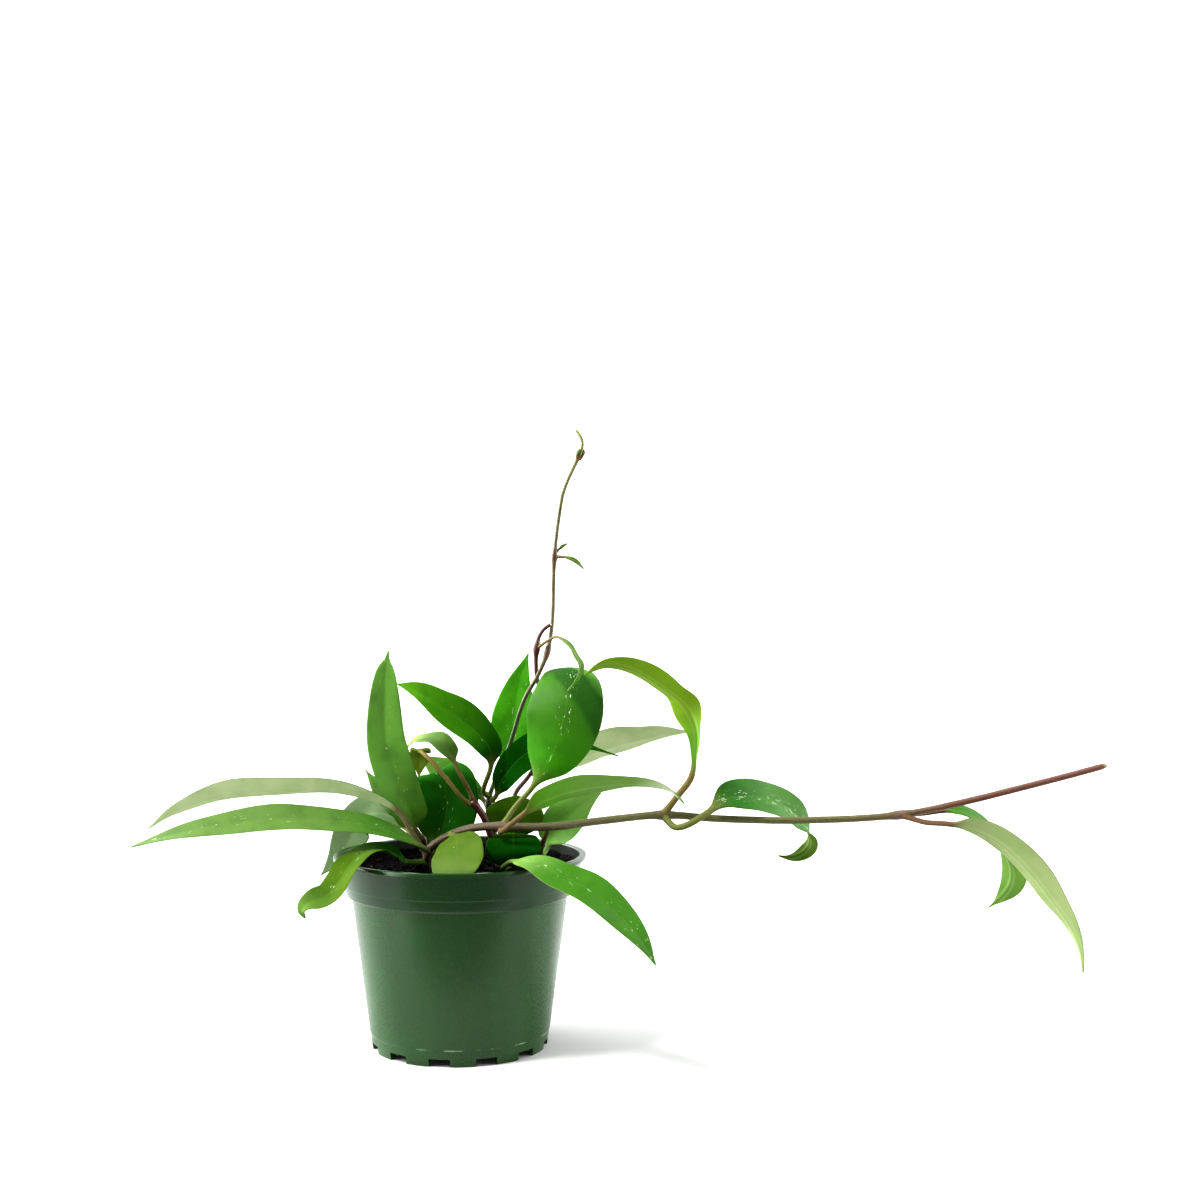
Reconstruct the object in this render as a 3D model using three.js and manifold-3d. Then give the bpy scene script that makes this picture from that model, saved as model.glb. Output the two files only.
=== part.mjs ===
// A climbing wax plant in its nursery pot: long glossy leaves from a crowded crown, one leafy runner that
// reaches out to the right with a cut end, and two thin vines that twine round each other and climb.
// Millimetres, +Z up, -Y is the front. The origin is the middle of the pot's underside.
import * as THREE from 'three';
import { mergeVertices } from 'three/addons/utils/BufferGeometryUtils.js';
import Module from 'manifold-3d';

const wasm = await Module();
wasm.setup();

// Driving dimensions

const GAP = 0.3;            // clearance between pieces that touch
const FULL_TURN = 2 * Math.PI;

const POT = {
  height: 86,
  rimRadius: 57,            // outside of the lip
  lipDepth: 1.9,
  bandTopRadius: 55.4,      // the broad band under the lip tapers down to its own edge
  bandFootRadius: 51.2,
  bandFootZ: 69,
  bandLineZ: 73.4,          // a fine moulded line runs round the band here
  wallTopRadius: 48.8,      // the wall proper starts under the band
  footRadius: 39.3,
  footLineZ: 7,             // a second fine line near the foot
  lineDepth: 0.3,
  lineRise: 0.4,
  lipRound: 0.5,
  shoulderZ: 66.5,          // inside, the wall widens to the band above this height
  wall: 1.3,
  floorZ: 3.4,              // underside of the raised floor
  floor: 1.4,
  footWall: 2.2,
  padRadius: 13,            // flat middle pad that the floor stands on
  sides: 36,
};

// turn is in degrees from the front, towards -X.
const NOTCH = { count: 12, width: 9.5, height: 3.4, reach: 4, turn: -8.5 };
const DRAIN = { count: 6, radius: 4, ring: 25, sides: 10 };

const SOIL = {
  topZ: 79.6, rings: 6, sides: 36, lumps: 46, lumpRise: 1.7, leastLump: 0.4, lumpSpread: 5.5, seed: 7,
};

// Rings stand a step apart along a stem, no two closer than the shortest step.
const STEM = { step: 8, shortest: 1, nodeSpread: 2.6 };

const BLADE = {
  thick: 1.1,               // at the midrib
  edge: 0.7,
  tip: 0.35,                // half width where the blade ends
  rib: 0.7,                 // how far the midrib stands out of the underside at the leaf's base
  flare: 0.13,              // share of the blade over which the petiole flattens out
  drip: 0.14,               // half width where a drip tip starts, as a share of the largest
  rows: 10,
};

// Finishes

const LOOKS = {
  pot: { color: 0x3f7047, roughness: 0.45 },
  soil: { color: 0x1f1812, roughness: 0.95 },
  bark: { color: 0x6e6440, roughness: 0.7 },
  red: { color: 0x5e2f27, roughness: 0.6 },
  olive: { color: 0x7d7440, roughness: 0.6 },
  deep: { color: 0x2b7a27, roughness: 0.35 },
  shade: { color: 0x1f5a22, roughness: 0.4 },
  pale: { color: 0x9fbf72, roughness: 0.55 },
  fresh: { color: 0x86ab2c, roughness: 0.45 },
};

// Stems. Each path runs from its foot in the soil to its tip. A node is a swelling, given as the place in the
// path where it sits and its radius.

const STEMS = {
  runner: {
    look: 'bark', radius: [1.95, 1.45], sides: 8,
    path: [[-15, 2, 66], [-15.5, 0, 80], [-13, -8, 89.5], [-2, -14, 97], [9.5, -18, 100.5], [20, -20, 101],
      [41, -17, 100.5], [63.5, -9, 102], [92, 0, 103.5], [118, 2, 101.5], [154.5, 4, 100.5], [201, 8, 102.5],
      [228.5, 8, 108], [255.5, 6, 115], [275.5, 4, 120.5], [294.5, 2, 126]],
    nodes: [[5, 2.7], [8, 2.9], [11, 2.5]],
  },
  vine_climbing: {
    look: 'olive', radius: [1.1, 0.5], sides: 6,
    path: [[20, 11, 66], [19, 11, 80], [15, 11, 93], [12, 11, 107.5], [16, 12, 120.5], [22, 10, 135],
      [29, 3, 156], [35.5, -1.5, 167.5], [39.5, -1, 177.5], [41.5, 1, 190], [42.2, 1, 209], [42.6, 0, 220.5],
      [44.6, -1, 238], [47, -3, 250.5], [53.5, -4, 265.5], [55.6, -4, 272], [52, -2, 278.5]],
    nodes: [[3, 1.8], [8, 1.7], [11, 1.5], [14, 1.2]],
  },
  vine_twining: {
    look: 'red', radius: [1.2, 0.9], sides: 6,
    path: [[25, 13, 66], [24, 13, 80], [22.5, 15, 100], [24, 19, 111], [30.5, 21, 119.5], [36, 20, 130.5],
      [37.5, 15, 145.5], [36, 8, 158.5], [34.4, 3.5, 167], [34.5, 0.5, 179], [35.5, 1, 184], [38, -0.5, 188],
      [41, -2, 190]],
    nodes: [[9, 1.8]],
  },
  stem_centre: {
    look: 'red', radius: [1.6, 1.7], sides: 8,
    path: [[18, 5, 66], [17, 4, 80], [14, 1, 93], [10.5, -1, 103], [5.5, -2, 110]],
    nodes: [[4, 2.4]],
  },
  stem_left: {
    look: 'red', radius: [1.6, 1.7], sides: 8,
    path: [[-15, 12, 66], [-16, 11, 78], [-17, 9, 86], [-18.5, 7.5, 93]],
    nodes: [[3, 2.3]],
  },
  stem_right: {
    look: 'bark', radius: [1.6, 1.6], sides: 8,
    path: [[29, 1, 66], [29, 0, 78], [27, -4, 85], [25.5, -6, 89]],
    nodes: [[3, 2.3]],
  },
  stem_rooted: {
    look: 'olive', radius: [1.2, 1.2], sides: 6,
    path: [[33, -2, 66], [35.5, -4, 81], [37, -8, 90], [40.5, -16.5, 100]],
    nodes: [],
  },
};

// Leaves. The first points of a spine are the petiole, from its stem's middle, and the rest is the midrib.
// faces gives the way the glossy upper face looks, spread evenly from the base to the tip.
// fold lifts both edges off the midrib like a V, as a share of the half width.

const LEAVES = [
  {
    name: 'leaf_left_upper', stem: 'runner', look: 'pale',
    petiole: 4, radius: 1.3, width: 15, widest: 0.5, fold: 0.3, basePower: 0.3, flare: 0.04,
    spine: [
      [-14.5, -5.5, 86.5], [-17, -7, 90], [-21.5, -9, 98], [-27.5, -12, 107.5], [-42.5, -14, 113.5],
      [-57.5, -16, 116.5], [-76, -18, 117], [-93.5, -20, 116.5], [-105, -21, 114.5],
      [-116.5, -22, 111], [-126, -22, 107], [-136, -22, 100],
    ],
    faces: [[0.4, 0.4, 0.8], [0, 0.62, 0.78], [0, 0.64, 0.77], [-0.1, 0.62, 0.77]],
  },
  {
    name: 'leaf_left_lower', stem: 'runner', look: 'deep',
    petiole: 2, radius: 1.3, width: 18.5, widest: 0.5, fold: 0.16, basePower: 0.45,
    spine: [
      [-13.5, -6.5, 88], [-14.5, -13, 90], [-24, -19, 96], [-38.5, -26, 102], [-51, -31, 104.5],
      [-67.5, -35, 106], [-80, -37, 106], [-96, -39, 104.5], [-113, -41, 102], [-125, -42, 99],
      [-138, -42, 95],
    ],
    faces: [[0, -0.4, 0.9], [0, -0.52, 0.85], [0, -0.52, 0.85]],
  },
  {
    name: 'leaf_left_upright', stem: 'stem_left', look: 'deep',
    petiole: 2, radius: 1.4, width: 18.5, widest: 0.45, fold: 0.2, basePower: 0.35, tipPower: 0.5,
    point: 0.06,
    spine: [
      [-18.5, 7.5, 92], [-21, 2.6, 96.5], [-22, -1.2, 103], [-26, -3.3, 113], [-30.5, -4.5, 127],
      [-33, -6, 138], [-33.5, -7, 154], [-33, -8, 168.5], [-31.5, -9, 178.5],
    ],
    faces: [[0.4, -0.85, 0.3], [0.1, -1, 0.1], [0.1, -1, 0.1]],
  },
  {
    name: 'leaf_centre_left', stem: 'vine_climbing', look: 'shade',
    petiole: 4, radius: 1.1, width: 22, widest: 0.42, fold: 0.2, basePower: 0.7, tipPower: 1.1,
    spine: [
      [11.6, 10.8, 111], [10, 5.5, 113.5], [11.5, -1, 118.5], [14, -4, 125.5], [13.5, -4.5, 133.5],
      [8.5, -6, 140], [1.5, -8.5, 146.3], [-7, -11, 152.5], [-14.8, -12, 158], [-21.5, -13, 161.8],
      [-27.3, -13, 163.6],
    ],
    faces: [[0.6, -0.6, 0.5], [0.6, -0.6, 0.5], [0.4, -0.6, 0.7]],
  },
  {
    name: 'leaf_young_arched', stem: 'stem_centre', look: 'fresh',
    petiole: 4, radius: 1, width: 12, widest: 0.35, fold: 0.2, rows: 8, across: 3,
    spine: [
      [5.8, -2, 110.5], [4.2, -3.5, 115], [1.5, -6, 120.5], [-2, -6, 127.5], [-6, -3.5, 134],
      [-10.5, 0, 137.2], [-16.5, 5, 137.7], [-22, 10, 136.4], [-26, 13, 133],
    ],
    faces: [[0.5, -0.6, 0.6], [0.1, -0.5, 0.85], [-0.6, -0.4, 0.7]],
  },
  {
    name: 'leaf_young_hanging', stem: 'stem_centre', look: 'fresh',
    petiole: 5, radius: 1, width: 13, widest: 0.35, fold: 0.15, basePower: 0.55, rows: 7, across: 3,
    spine: [
      [4.5, -3, 108.5], [1, -8, 112.5], [-5, -10, 120.5], [-13, -9, 129.5], [-17.5, -3, 132.5],
      [-20.5, 2, 130.5], [-21.5, 4.5, 127], [-22, 5.5, 123], [-22, 5.5, 119.5],
    ],
    faces: [[0.3, -0.5, 0.8], [-0.4, -0.8, 0.4], [-0.3, -0.95, 0.1]],
  },
  {
    name: 'leaf_centre_broad', stem: 'stem_left', look: 'shade',
    petiole: 3, radius: 1.3, width: 30, widest: 0.42, fold: 0.12, basePower: 0.35, flare: 0.08,
    spine: [
      [-16.5, 10, 84], [-12.5, 6, 86], [-9.5, 5, 90.5], [-7.2, 6.5, 102], [-7.2, 8, 111],
      [-9.5, 11, 117.5], [-13, 15, 120.5], [-15, 18.2, 119.5], [-16, 21.5, 116.5],
    ],
    faces: [[0.1, -0.9, 0.4], [0.1, -0.95, 0.3], [0, -0.5, 0.9], [0, 0.2, 1]],
  },
  {
    name: 'leaf_back_left', stem: 'vine_climbing', look: 'shade',
    petiole: 2, radius: 1.1, width: 17, widest: 0.5, fold: 0.15, rows: 8,
    spine: [[12.5, 11, 102], [9.5, 16, 108], [-1.5, 24, 114.5], [-12, 30, 121.5], [-22, 34, 127]],
    faces: [[0.3, -0.7, 0.6]],
  },
  {
    name: 'leaf_centre_upright', stem: 'vine_climbing', look: 'deep',
    petiole: 2, radius: 1, width: 21, widest: 0.42, fold: 0.14, rows: 9,
    spine: [
      [15, 12, 118], [19, 17, 124], [22, 18, 133.5], [23.5, 19, 147.5], [25.5, 20, 161.5],
      [30, 20, 176.5],
    ],
    faces: [[-0.1, -1, 0.1]],
  },
  {
    name: 'leaf_centre_large', stem: 'runner', look: 'deep',
    petiole: 3, radius: 1.2, width: 34.5, widest: 0.38, fold: -0.2, rows: 14, basePower: 1.25, tipPower: 1.25,
    spine: [
      [20, -20, 101], [25.5, -17, 109], [33, -16, 117.5], [39.5, -16, 128], [45, -17, 140],
      [47.5, -17, 150], [49.2, -12, 161], [50.2, -2, 168.8], [51.5, 8, 169.8], [53, 24, 163.5],
      [55.5, 34, 151],
    ],
    faces: [[0.1, -0.95, 0.3], [0, -1, 0.1], [0, -0.6, 0.8], [0, 0.3, 1]],
  },
  {
    name: 'leaf_young_thin', stem: 'vine_twining', look: 'fresh',
    petiole: 3, radius: 0.6, width: 4, widest: 0.5, fold: 0.3, rows: 9, across: 3,
    spine: [
      [34.5, 0.5, 179], [40.3, -5, 183], [44, -9, 184.5], [49, -14, 181.5], [52.5, -18, 176.5],
      [54.5, -21, 171.5], [53.5, -22.5, 166.5], [49, -22.5, 161],
    ],
    faces: [[0, -0.3, 1], [0.7, -0.4, 0.5], [0.8, -0.4, 0.2]],
  },
  {
    name: 'leaf_runner_ribbon', stem: 'runner', look: 'pale',
    petiole: 3, radius: 1.5, width: 17, widest: 0.6, fold: 0.25, rows: 14,
    spine: [
      [92, 0, 103.5], [98, -3, 112], [104.5, -4, 121], [106, -5, 131], [106.5, -6, 140],
      [104.5, -7, 148], [99.5, -9, 155.5], [92, -11, 161.5], [83, -13, 167.5], [74, -15, 171.5],
      [65, -16, 172], [56, -17, 167.5],
    ],
    faces: [[0.6, -0.8, 0.1], [0.65, -0.75, 0.1], [0.4, 0.45, 0.8], [0.2, 0.55, 0.8], [0, 0.55, 0.83]],
  },
  {
    name: 'leaf_back_right', stem: 'vine_twining', look: 'pale',
    petiole: 2, radius: 1.1, width: 25, widest: 0.3, fold: 0.2, tipPower: 0.95, rows: 9,
    spine: [
      [31, 21, 120], [44.5, 25, 124], [56, 28, 127.5], [69, 31, 132], [82, 33, 135], [94.5, 34, 137.5],
      [106, 35, 138.5],
    ],
    faces: [[0, 0.6, 0.8]],
  },
  {
    name: 'leaf_front_right', stem: 'runner', look: 'pale',
    petiole: 4, radius: 1.2, width: 18.5, widest: 0.26, fold: 0.25, tipPower: 0.9,
    spine: [
      [20, -20, 100.5], [19.5, -24.5, 99], [25, -27, 103.5], [30, -28, 107.5], [40, -30, 113.5],
      [51.5, -30, 117.3], [64, -29, 119.3], [76.5, -27, 120], [87.5, -25, 119], [95, -22, 116.5],
      [100.5, -20, 111],
    ],
    faces: [[0, 0.5, 0.85], [0, 0.58, 0.8], [0, 0.4, 0.9], [0.2, -0.5, 0.8]],
  },
  {
    name: 'leaf_side_right', stem: 'stem_rooted', look: 'deep',
    petiole: 3, radius: 1.1, width: 20, widest: 0.45, fold: 0.15, rows: 8, basePower: 0.5,
    spine: [
      [36.3, -6, 86], [38, 0, 86], [39.5, 4, 88.5], [43, 7, 94.5], [48.5, 10, 101], [55, 12, 106.5],
      [64, 14, 112],
    ],
    faces: [[-0.3, -0.85, 0.4]],
  },
  {
    name: 'leaf_front_left', stem: 'runner', look: 'pale',
    petiole: 2, radius: 1.3, width: 24, widest: 0.62, fold: -0.05, rows: 9, basePower: 0.25, tipPower: 0.3,
    flare: 0.06,
    spine: [
      [-3, -13.5, 96.5], [-1.5, -18, 96.5], [0.5, -26, 96.5], [1.5, -34, 94.5], [2, -41, 91],
      [2, -46, 87], [2, -49, 82.5],
    ],
    faces: [[-0.28, -0.2, 0.93], [-0.28, -0.5, 0.8], [-0.28, -0.8, 0.5]],
  },
  {
    name: 'leaf_front_middle', stem: 'stem_right', look: 'shade',
    petiole: 2, radius: 1.2, width: 25, widest: 0.58, fold: -0.05, rows: 9, basePower: 0.35, tipPower: 0.5,
    flare: 0.08,
    spine: [
      [25.5, -6, 88.5], [25.5, -8.5, 94.5], [25, -14, 97], [25, -21, 95], [25.5, -26, 92],
      [26, -29, 88.5], [26.5, -30, 85],
    ],
    faces: [[0, -0.2, 1], [0, -0.8, 0.6]],
  },
  {
    name: 'leaf_over_rim_right', stem: 'stem_right', look: 'deep',
    petiole: 5, radius: 1.2, width: 20, widest: 0.5, fold: 0.12,
    spine: [
      [27, -4, 84.5], [24, -14, 83.5], [21, -25, 83.3], [21.5, -33, 85.2], [25, -38, 88.3],
      [30, -42, 88.8], [37.5, -47, 88.3], [47, -54, 84.5], [60, -63, 79.5], [72.5, -70, 70],
      [80.5, -75, 61.5], [86, -78, 52.5],
    ],
    faces: [[0.1, -0.3, 0.95], [0.2, -0.5, 0.85], [0.35, -0.7, 0.6]],
  },
  {
    name: 'leaf_over_rim_left', stem: 'runner', look: 'fresh',
    petiole: 3, radius: 1.2, width: 18, widest: 0.5, fold: 0.15, rows: 16, basePower: 0.35, tipPower: 0.9,
    flare: 0.05,
    spine: [
      [-15.5, -1.5, 82.5], [-19, -9, 83.5], [-23.3, -13, 84.5], [-26.7, -17.5, 88], [-30.5, -22, 90.3],
      [-34.5, -27.5, 91.8], [-38, -34, 91.8], [-41.5, -41, 90], [-44.4, -47, 86], [-47.6, -50.5, 80.8],
      [-50.8, -53, 77.2], [-55.2, -55.5, 75.4], [-59, -57, 74], [-61.6, -58, 71.2], [-60, -57, 67.5],
    ],
    faces: [
      [-0.2, -0.7, 0.7], [-0.25, -0.6, 0.8], [-0.3, -0.15, 0.95], [-0.45, -0.75, 0.5],
      [-0.6, -0.6, 0.3],
    ],
  },
  {
    name: 'leaf_behind_rim', stem: 'stem_left', look: 'pale',
    petiole: 3, radius: 1.2, width: 22, widest: 0.45, fold: 0.12, rows: 14, basePower: 0.6,
    spine: [
      [-17, 9, 87], [-21.5, 15, 90], [-27, 21, 94.5], [-33, 25, 98.5], [-40.5, 29, 100.3],
      [-47.5, 34.5, 98.8], [-52.5, 37, 93.5], [-56, 36.5, 86.5], [-59.5, 32, 80],
      [-63.5, 27, 75.5], [-67, 22, 72.5],
    ],
    faces: [[-0.1, -0.8, 0.6], [-0.2, -0.85, 0.5], [-0.3, -0.85, 0.4], [-0.5, -0.8, 0.3]],
  },
  {
    name: 'leaf_small_left', stem: 'stem_left', look: 'pale',
    petiole: 3, radius: 1, width: 9.5, widest: 0.45, fold: 0.2, rows: 7, across: 3, tipPower: 1.3,
    spine: [
      [-18.5, 9, 91.5], [-23, 11.5, 97], [-28, 9.5, 101.5], [-31.5, 8, 106.5], [-38.5, 8, 115],
      [-44.5, 8, 123.5],
    ],
    faces: [[0.2, -0.9, 0.3]],
  },
  {
    name: 'leaf_centre_right', stem: 'vine_climbing', look: 'shade',
    petiole: 2, radius: 1.1, width: 17.5, widest: 0.42, fold: 0.15, basePower: 1, tipPower: 1.7,
    spine: [
      [13.6, 10.6, 109], [15.8, 5, 111.5], [19, 1, 119], [27, -2, 129], [37.5, -2, 135.5],
      [48, 2, 137], [59, 7, 133.5], [72, 12, 129],
    ],
    faces: [[-0.2, -0.8, 0.5], [-0.2, -0.85, 0.5], [0, -0.4, 0.9]],
  },
  {
    name: 'leaf_low_centre', stem: 'vine_twining', look: 'shade',
    petiole: 2, radius: 1.1, width: 27, widest: 0.45, fold: 0.05, rows: 8, tipPower: 1.5,
    spine: [
      [23.4, 13.7, 88], [23.8, 6.5, 92], [24, 4.5, 98], [24.5, 4.5, 104.5], [24.8, 7, 109.5],
      [24.8, 11.5, 111],
    ],
    faces: [[0, -0.95, 0.3], [0, -0.95, 0.3], [0, -0.3, 1]],
  },
  {
    name: 'leaf_runner_folded', stem: 'runner', look: 'deep',
    petiole: 6, radius: 1.5, width: 21, widest: 0.35, fold: 0.18, rows: 16,
    spine: [
      [92, 0, 103.5], [94.5, -3, 100.5], [97.5, -6, 98.5], [103.5, -8, 100.5], [109.5, -7, 104],
      [113, -5, 106], [120, 0, 110.5], [129.5, 6, 111], [139.5, 13, 109], [148.5, 20, 105],
      [155.5, 24, 99.5], [160.5, 26, 93], [162, 26, 87], [158.5, 25, 82.5], [152.5, 24, 80.5],
      [146.5, 23, 81.5],
    ],
    faces: [[0, -0.75, 0.65], [0, -0.75, 0.65], [0.2, -0.6, 0.75], [0.8, 0.5, 0.2], [0.2, 0.5, -0.85]],
  },
  {
    name: 'leaf_far_front', stem: 'runner', look: 'pale',
    petiole: 4, radius: 1.2, width: 18.5, widest: 0.38, fold: 0.28, rows: 12, basePower: 0.5,
    tipPower: 0.95, flare: 0.06, point: 0.08,
    spine: [
      [201, 8, 102.5], [211, 1, 100], [216, -2, 100], [222, -5, 99.8], [235.4, -7.5, 96.3],
      [244.8, -9.5, 90.5], [255.5, -11.5, 79.6], [264.3, -13, 68], [271.2, -14.5, 58.2],
      [276.4, -16, 46.5], [277.7, -16, 35],
    ],
    faces: [[0.3, 0.5, 0.8], [0.5, 0.55, 0.6], [0.65, 0.55, 0.4], [0.7, 0.6, 0.2]],
  },
  {
    name: 'leaf_far_back', stem: 'runner', look: 'pale',
    petiole: 3, radius: 1.2, width: 18, widest: 0.5, fold: 0.18, basePower: 0.45, tipPower: 1.6,
    flare: 0.06,
    spine: [
      [201, 8, 102.5], [213.5, 14, 102.5], [222, 17, 103.2], [232, 20, 102.3], [243, 22, 95.5],
      [251.5, 23, 85], [256, 23, 75.5], [255, 22, 68], [250, 21, 62], [244, 20, 57.5],
    ],
    faces: [[0.1, -0.4, 0.9], [0.3, -0.2, 0.9], [0.7, 0.6, 0.2], [0.5, 0.8, -0.2]],
  },
];

// The smallest leaves, still opening, grow fused to the climbing vine.

const LEAFLETS = [
  {
    petiole: 2, radius: 0.6, width: 3.2, widest: 0.4, fold: 0.2, rows: 5, across: 3,
    spine: [[42.6, 0, 220.5], [47.5, -2, 220.4], [52.3, -3, 218.4], [56, -3, 215]],
    faces: [[0.3, -0.6, 0.75]],
  },
  {
    petiole: 2, radius: 0.5, width: 2, widest: 0.4, fold: 0.2, rows: 3, across: 3,
    spine: [[42.8, 0, 222], [45, 0.5, 224.3], [48.4, 2, 226.7]],
    faces: [[-0.5, -0.7, 0.5]],
  },
  {
    petiole: 2, radius: 0.5, width: 2, widest: 0.4, fold: 0.2, rows: 3, across: 3,
    spine: [[53.2, -4, 264.5], [51.9, -4.8, 267], [53.6, -4.8, 270]],
    faces: [[-0.8, -0.6, 0]],
  },
  {
    petiole: 2, radius: 0.5, width: 2, widest: 0.4, fold: 0.2, rows: 3, across: 3,
    spine: [[53.8, -4, 264.5], [56.6, -3.2, 267], [57, -3.2, 270.5]],
    faces: [[0.8, -0.6, 0]],
  },
];

// Helpers

const radians = (degrees) => degrees * Math.PI / 180;
const mix = THREE.MathUtils.lerp;
const smooth = (x) => THREE.MathUtils.smoothstep(x, 0, 1);
const vector = (point) => new THREE.Vector3(...point);

function curveThrough(points) {
  const curve = new THREE.CatmullRomCurve3(points.map(vector), false, 'centripetal');
  curve.arcLengthDivisions = 400;
  return curve;
}

// A seeded random number generator, so the soil is the same each time.
function randomFrom(seed) {
  let state = seed;
  return () => {
    state = (state * 1664525 + 1013904223) % 4294967296;
    return state / 4294967296;
  };
}

function solidOf(points, triangles) {
  const vertProperties = new Float32Array(points.flatMap((p) => [p.x, p.y, p.z]));
  const triVerts = new Uint32Array(triangles.flat());
  return new wasm.Manifold(new wasm.Mesh({ numProp: 3, vertProperties, triVerts }));
}

function solidFromGeometry(geometry) {
  geometry.deleteAttribute('normal');
  geometry.deleteAttribute('uv');
  const merged = mergeVertices(geometry, 1e-4);
  const vertProperties = new Float32Array(merged.attributes.position.array);
  const triVerts = new Uint32Array(merged.index.array);
  return new wasm.Manifold(new wasm.Mesh({ numProp: 3, vertProperties, triVerts }));
}

function geometryOf(solid) {
  const mesh = solid.getMesh();
  const geometry = new THREE.BufferGeometry();
  geometry.setAttribute('position', new THREE.BufferAttribute(new Float32Array(mesh.vertProperties), 3));
  geometry.setIndex(new THREE.BufferAttribute(new Uint32Array(mesh.triVerts), 1));
  const faceted = geometry.toNonIndexed();
  faceted.computeVertexNormals();
  return faceted;
}

// The largest loose body of a solid, so a trim leaves no scrap behind.
function mainBody(solid) {
  const bodies = solid.decompose();
  return bodies.reduce((best, body) => (body.volume() > best.volume() ? body : best));
}

// Skins rings of equally many points. The first half of a ring is its upper side and the rest its lower side,
// and the lower side is split the other way, so that both faces of a thin blade get the same triangles.
function loft(rings) {
  const count = rings[0].length;
  const half = count / 2;
  const triangles = [];
  for (let row = 0; row + 1 < rings.length; row++) {
    for (let k = 0; k < count; k++) {
      const next = (k + 1) % count;
      const [a, b] = [row * count + k, row * count + next];
      const [c, d] = [a + count, b + count];
      if (k < half) triangles.push([a, b, d], [a, d, c]);
      else triangles.push([a, b, c], [b, d, c]);
    }
  }
  const last = (rings.length - 1) * count;
  for (let k = 0; k + 1 < half; k++) {
    const quad = [k, k + 1, count - 2 - k, count - 1 - k];
    triangles.push([quad[2], quad[1], quad[0]], [quad[3], quad[2], quad[0]]);
    const end = quad.map((index) => last + index);
    triangles.push([end[0], end[1], end[2]], [end[0], end[2], end[3]]);
  }
  return solidOf(rings.flat(), triangles);
}

// Stems

// Places along a stem, in millimetres from its foot: even steps, and closer ones over each swollen node.
const NODE_RINGS = [-1.5, -0.7, 0, 0.7, 1.5];

function stemStations(length, nodes) {
  const steps = Math.ceil(length / STEM.step);
  const stations = [];
  for (let i = 0; i <= steps; i++) stations.push(i / steps * length);
  for (const node of nodes) {
    for (const reach of NODE_RINGS) stations.push(node.at + reach * STEM.nodeSpread);
  }
  const inside = stations.filter((s) => s >= 0 && s <= length).sort((a, b) => a - b);
  const clear = (s, i) => s - inside[i - 1] > STEM.shortest && length - s > STEM.shortest;
  return inside.filter((s, i) => i === 0 || s === length || clear(s, i));
}

function stemSolid({ path, radius, nodes, sides }, grow = 0) {
  const curve = curveThrough(path);
  const lengths = curve.getLengths();
  const length = lengths.at(-1);
  const placed = nodes.map(([index, size]) => ({
    at: lengths[Math.round(index / (path.length - 1) * (lengths.length - 1))], size,
  }));
  const stations = stemStations(length, placed);
  let side = new THREE.Vector3(1, 0.2, 0);
  const rings = stations.map((s, row) => {
    const along = s / length;
    const tangent = curve.getTangentAt(along);
    const centre = curve.getPointAt(along);
    if (row === 0) centre.addScaledVector(tangent, -grow);
    if (row === stations.length - 1) centre.addScaledVector(tangent, grow);
    side = side.clone().addScaledVector(tangent, -side.dot(tangent)).normalize();
    const across = tangent.clone().cross(side);
    let size = mix(radius[0], radius[1], along);
    for (const node of placed) {
      const away = (s - node.at) / STEM.nodeSpread;
      size += (node.size - size) * Math.exp(-away * away);
    }
    const ring = [];
    for (let k = 0; k < sides; k++) {
      const turn = (k + 0.5) / sides * FULL_TURN;
      ring.push(centre.clone().addScaledVector(side, (size + grow) * Math.cos(turn))
        .addScaledVector(across, (size + grow) * Math.sin(turn)));
    }
    return ring;
  });
  return loft(rings);
}

// Leaves

// Half width of a blade as a share of its largest, from its base at 0 to its tip at 1.
// point is the share of the blade that is drawn out into a narrow drip tip.
function outline(at, widest, basePower, tipPower, point) {
  const body = Math.min(1, at / (1 - point));
  const turned = body ** (Math.log(0.5) / Math.log(widest));
  const full = Math.abs(Math.sin(Math.PI * turned)) ** (body < widest ? basePower : tipPower);
  const drip = point > 0 && at > 0.5 ? BLADE.drip * Math.min(1, (1 - at) / point) : 0;
  return Math.max(full, drip);
}

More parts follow.
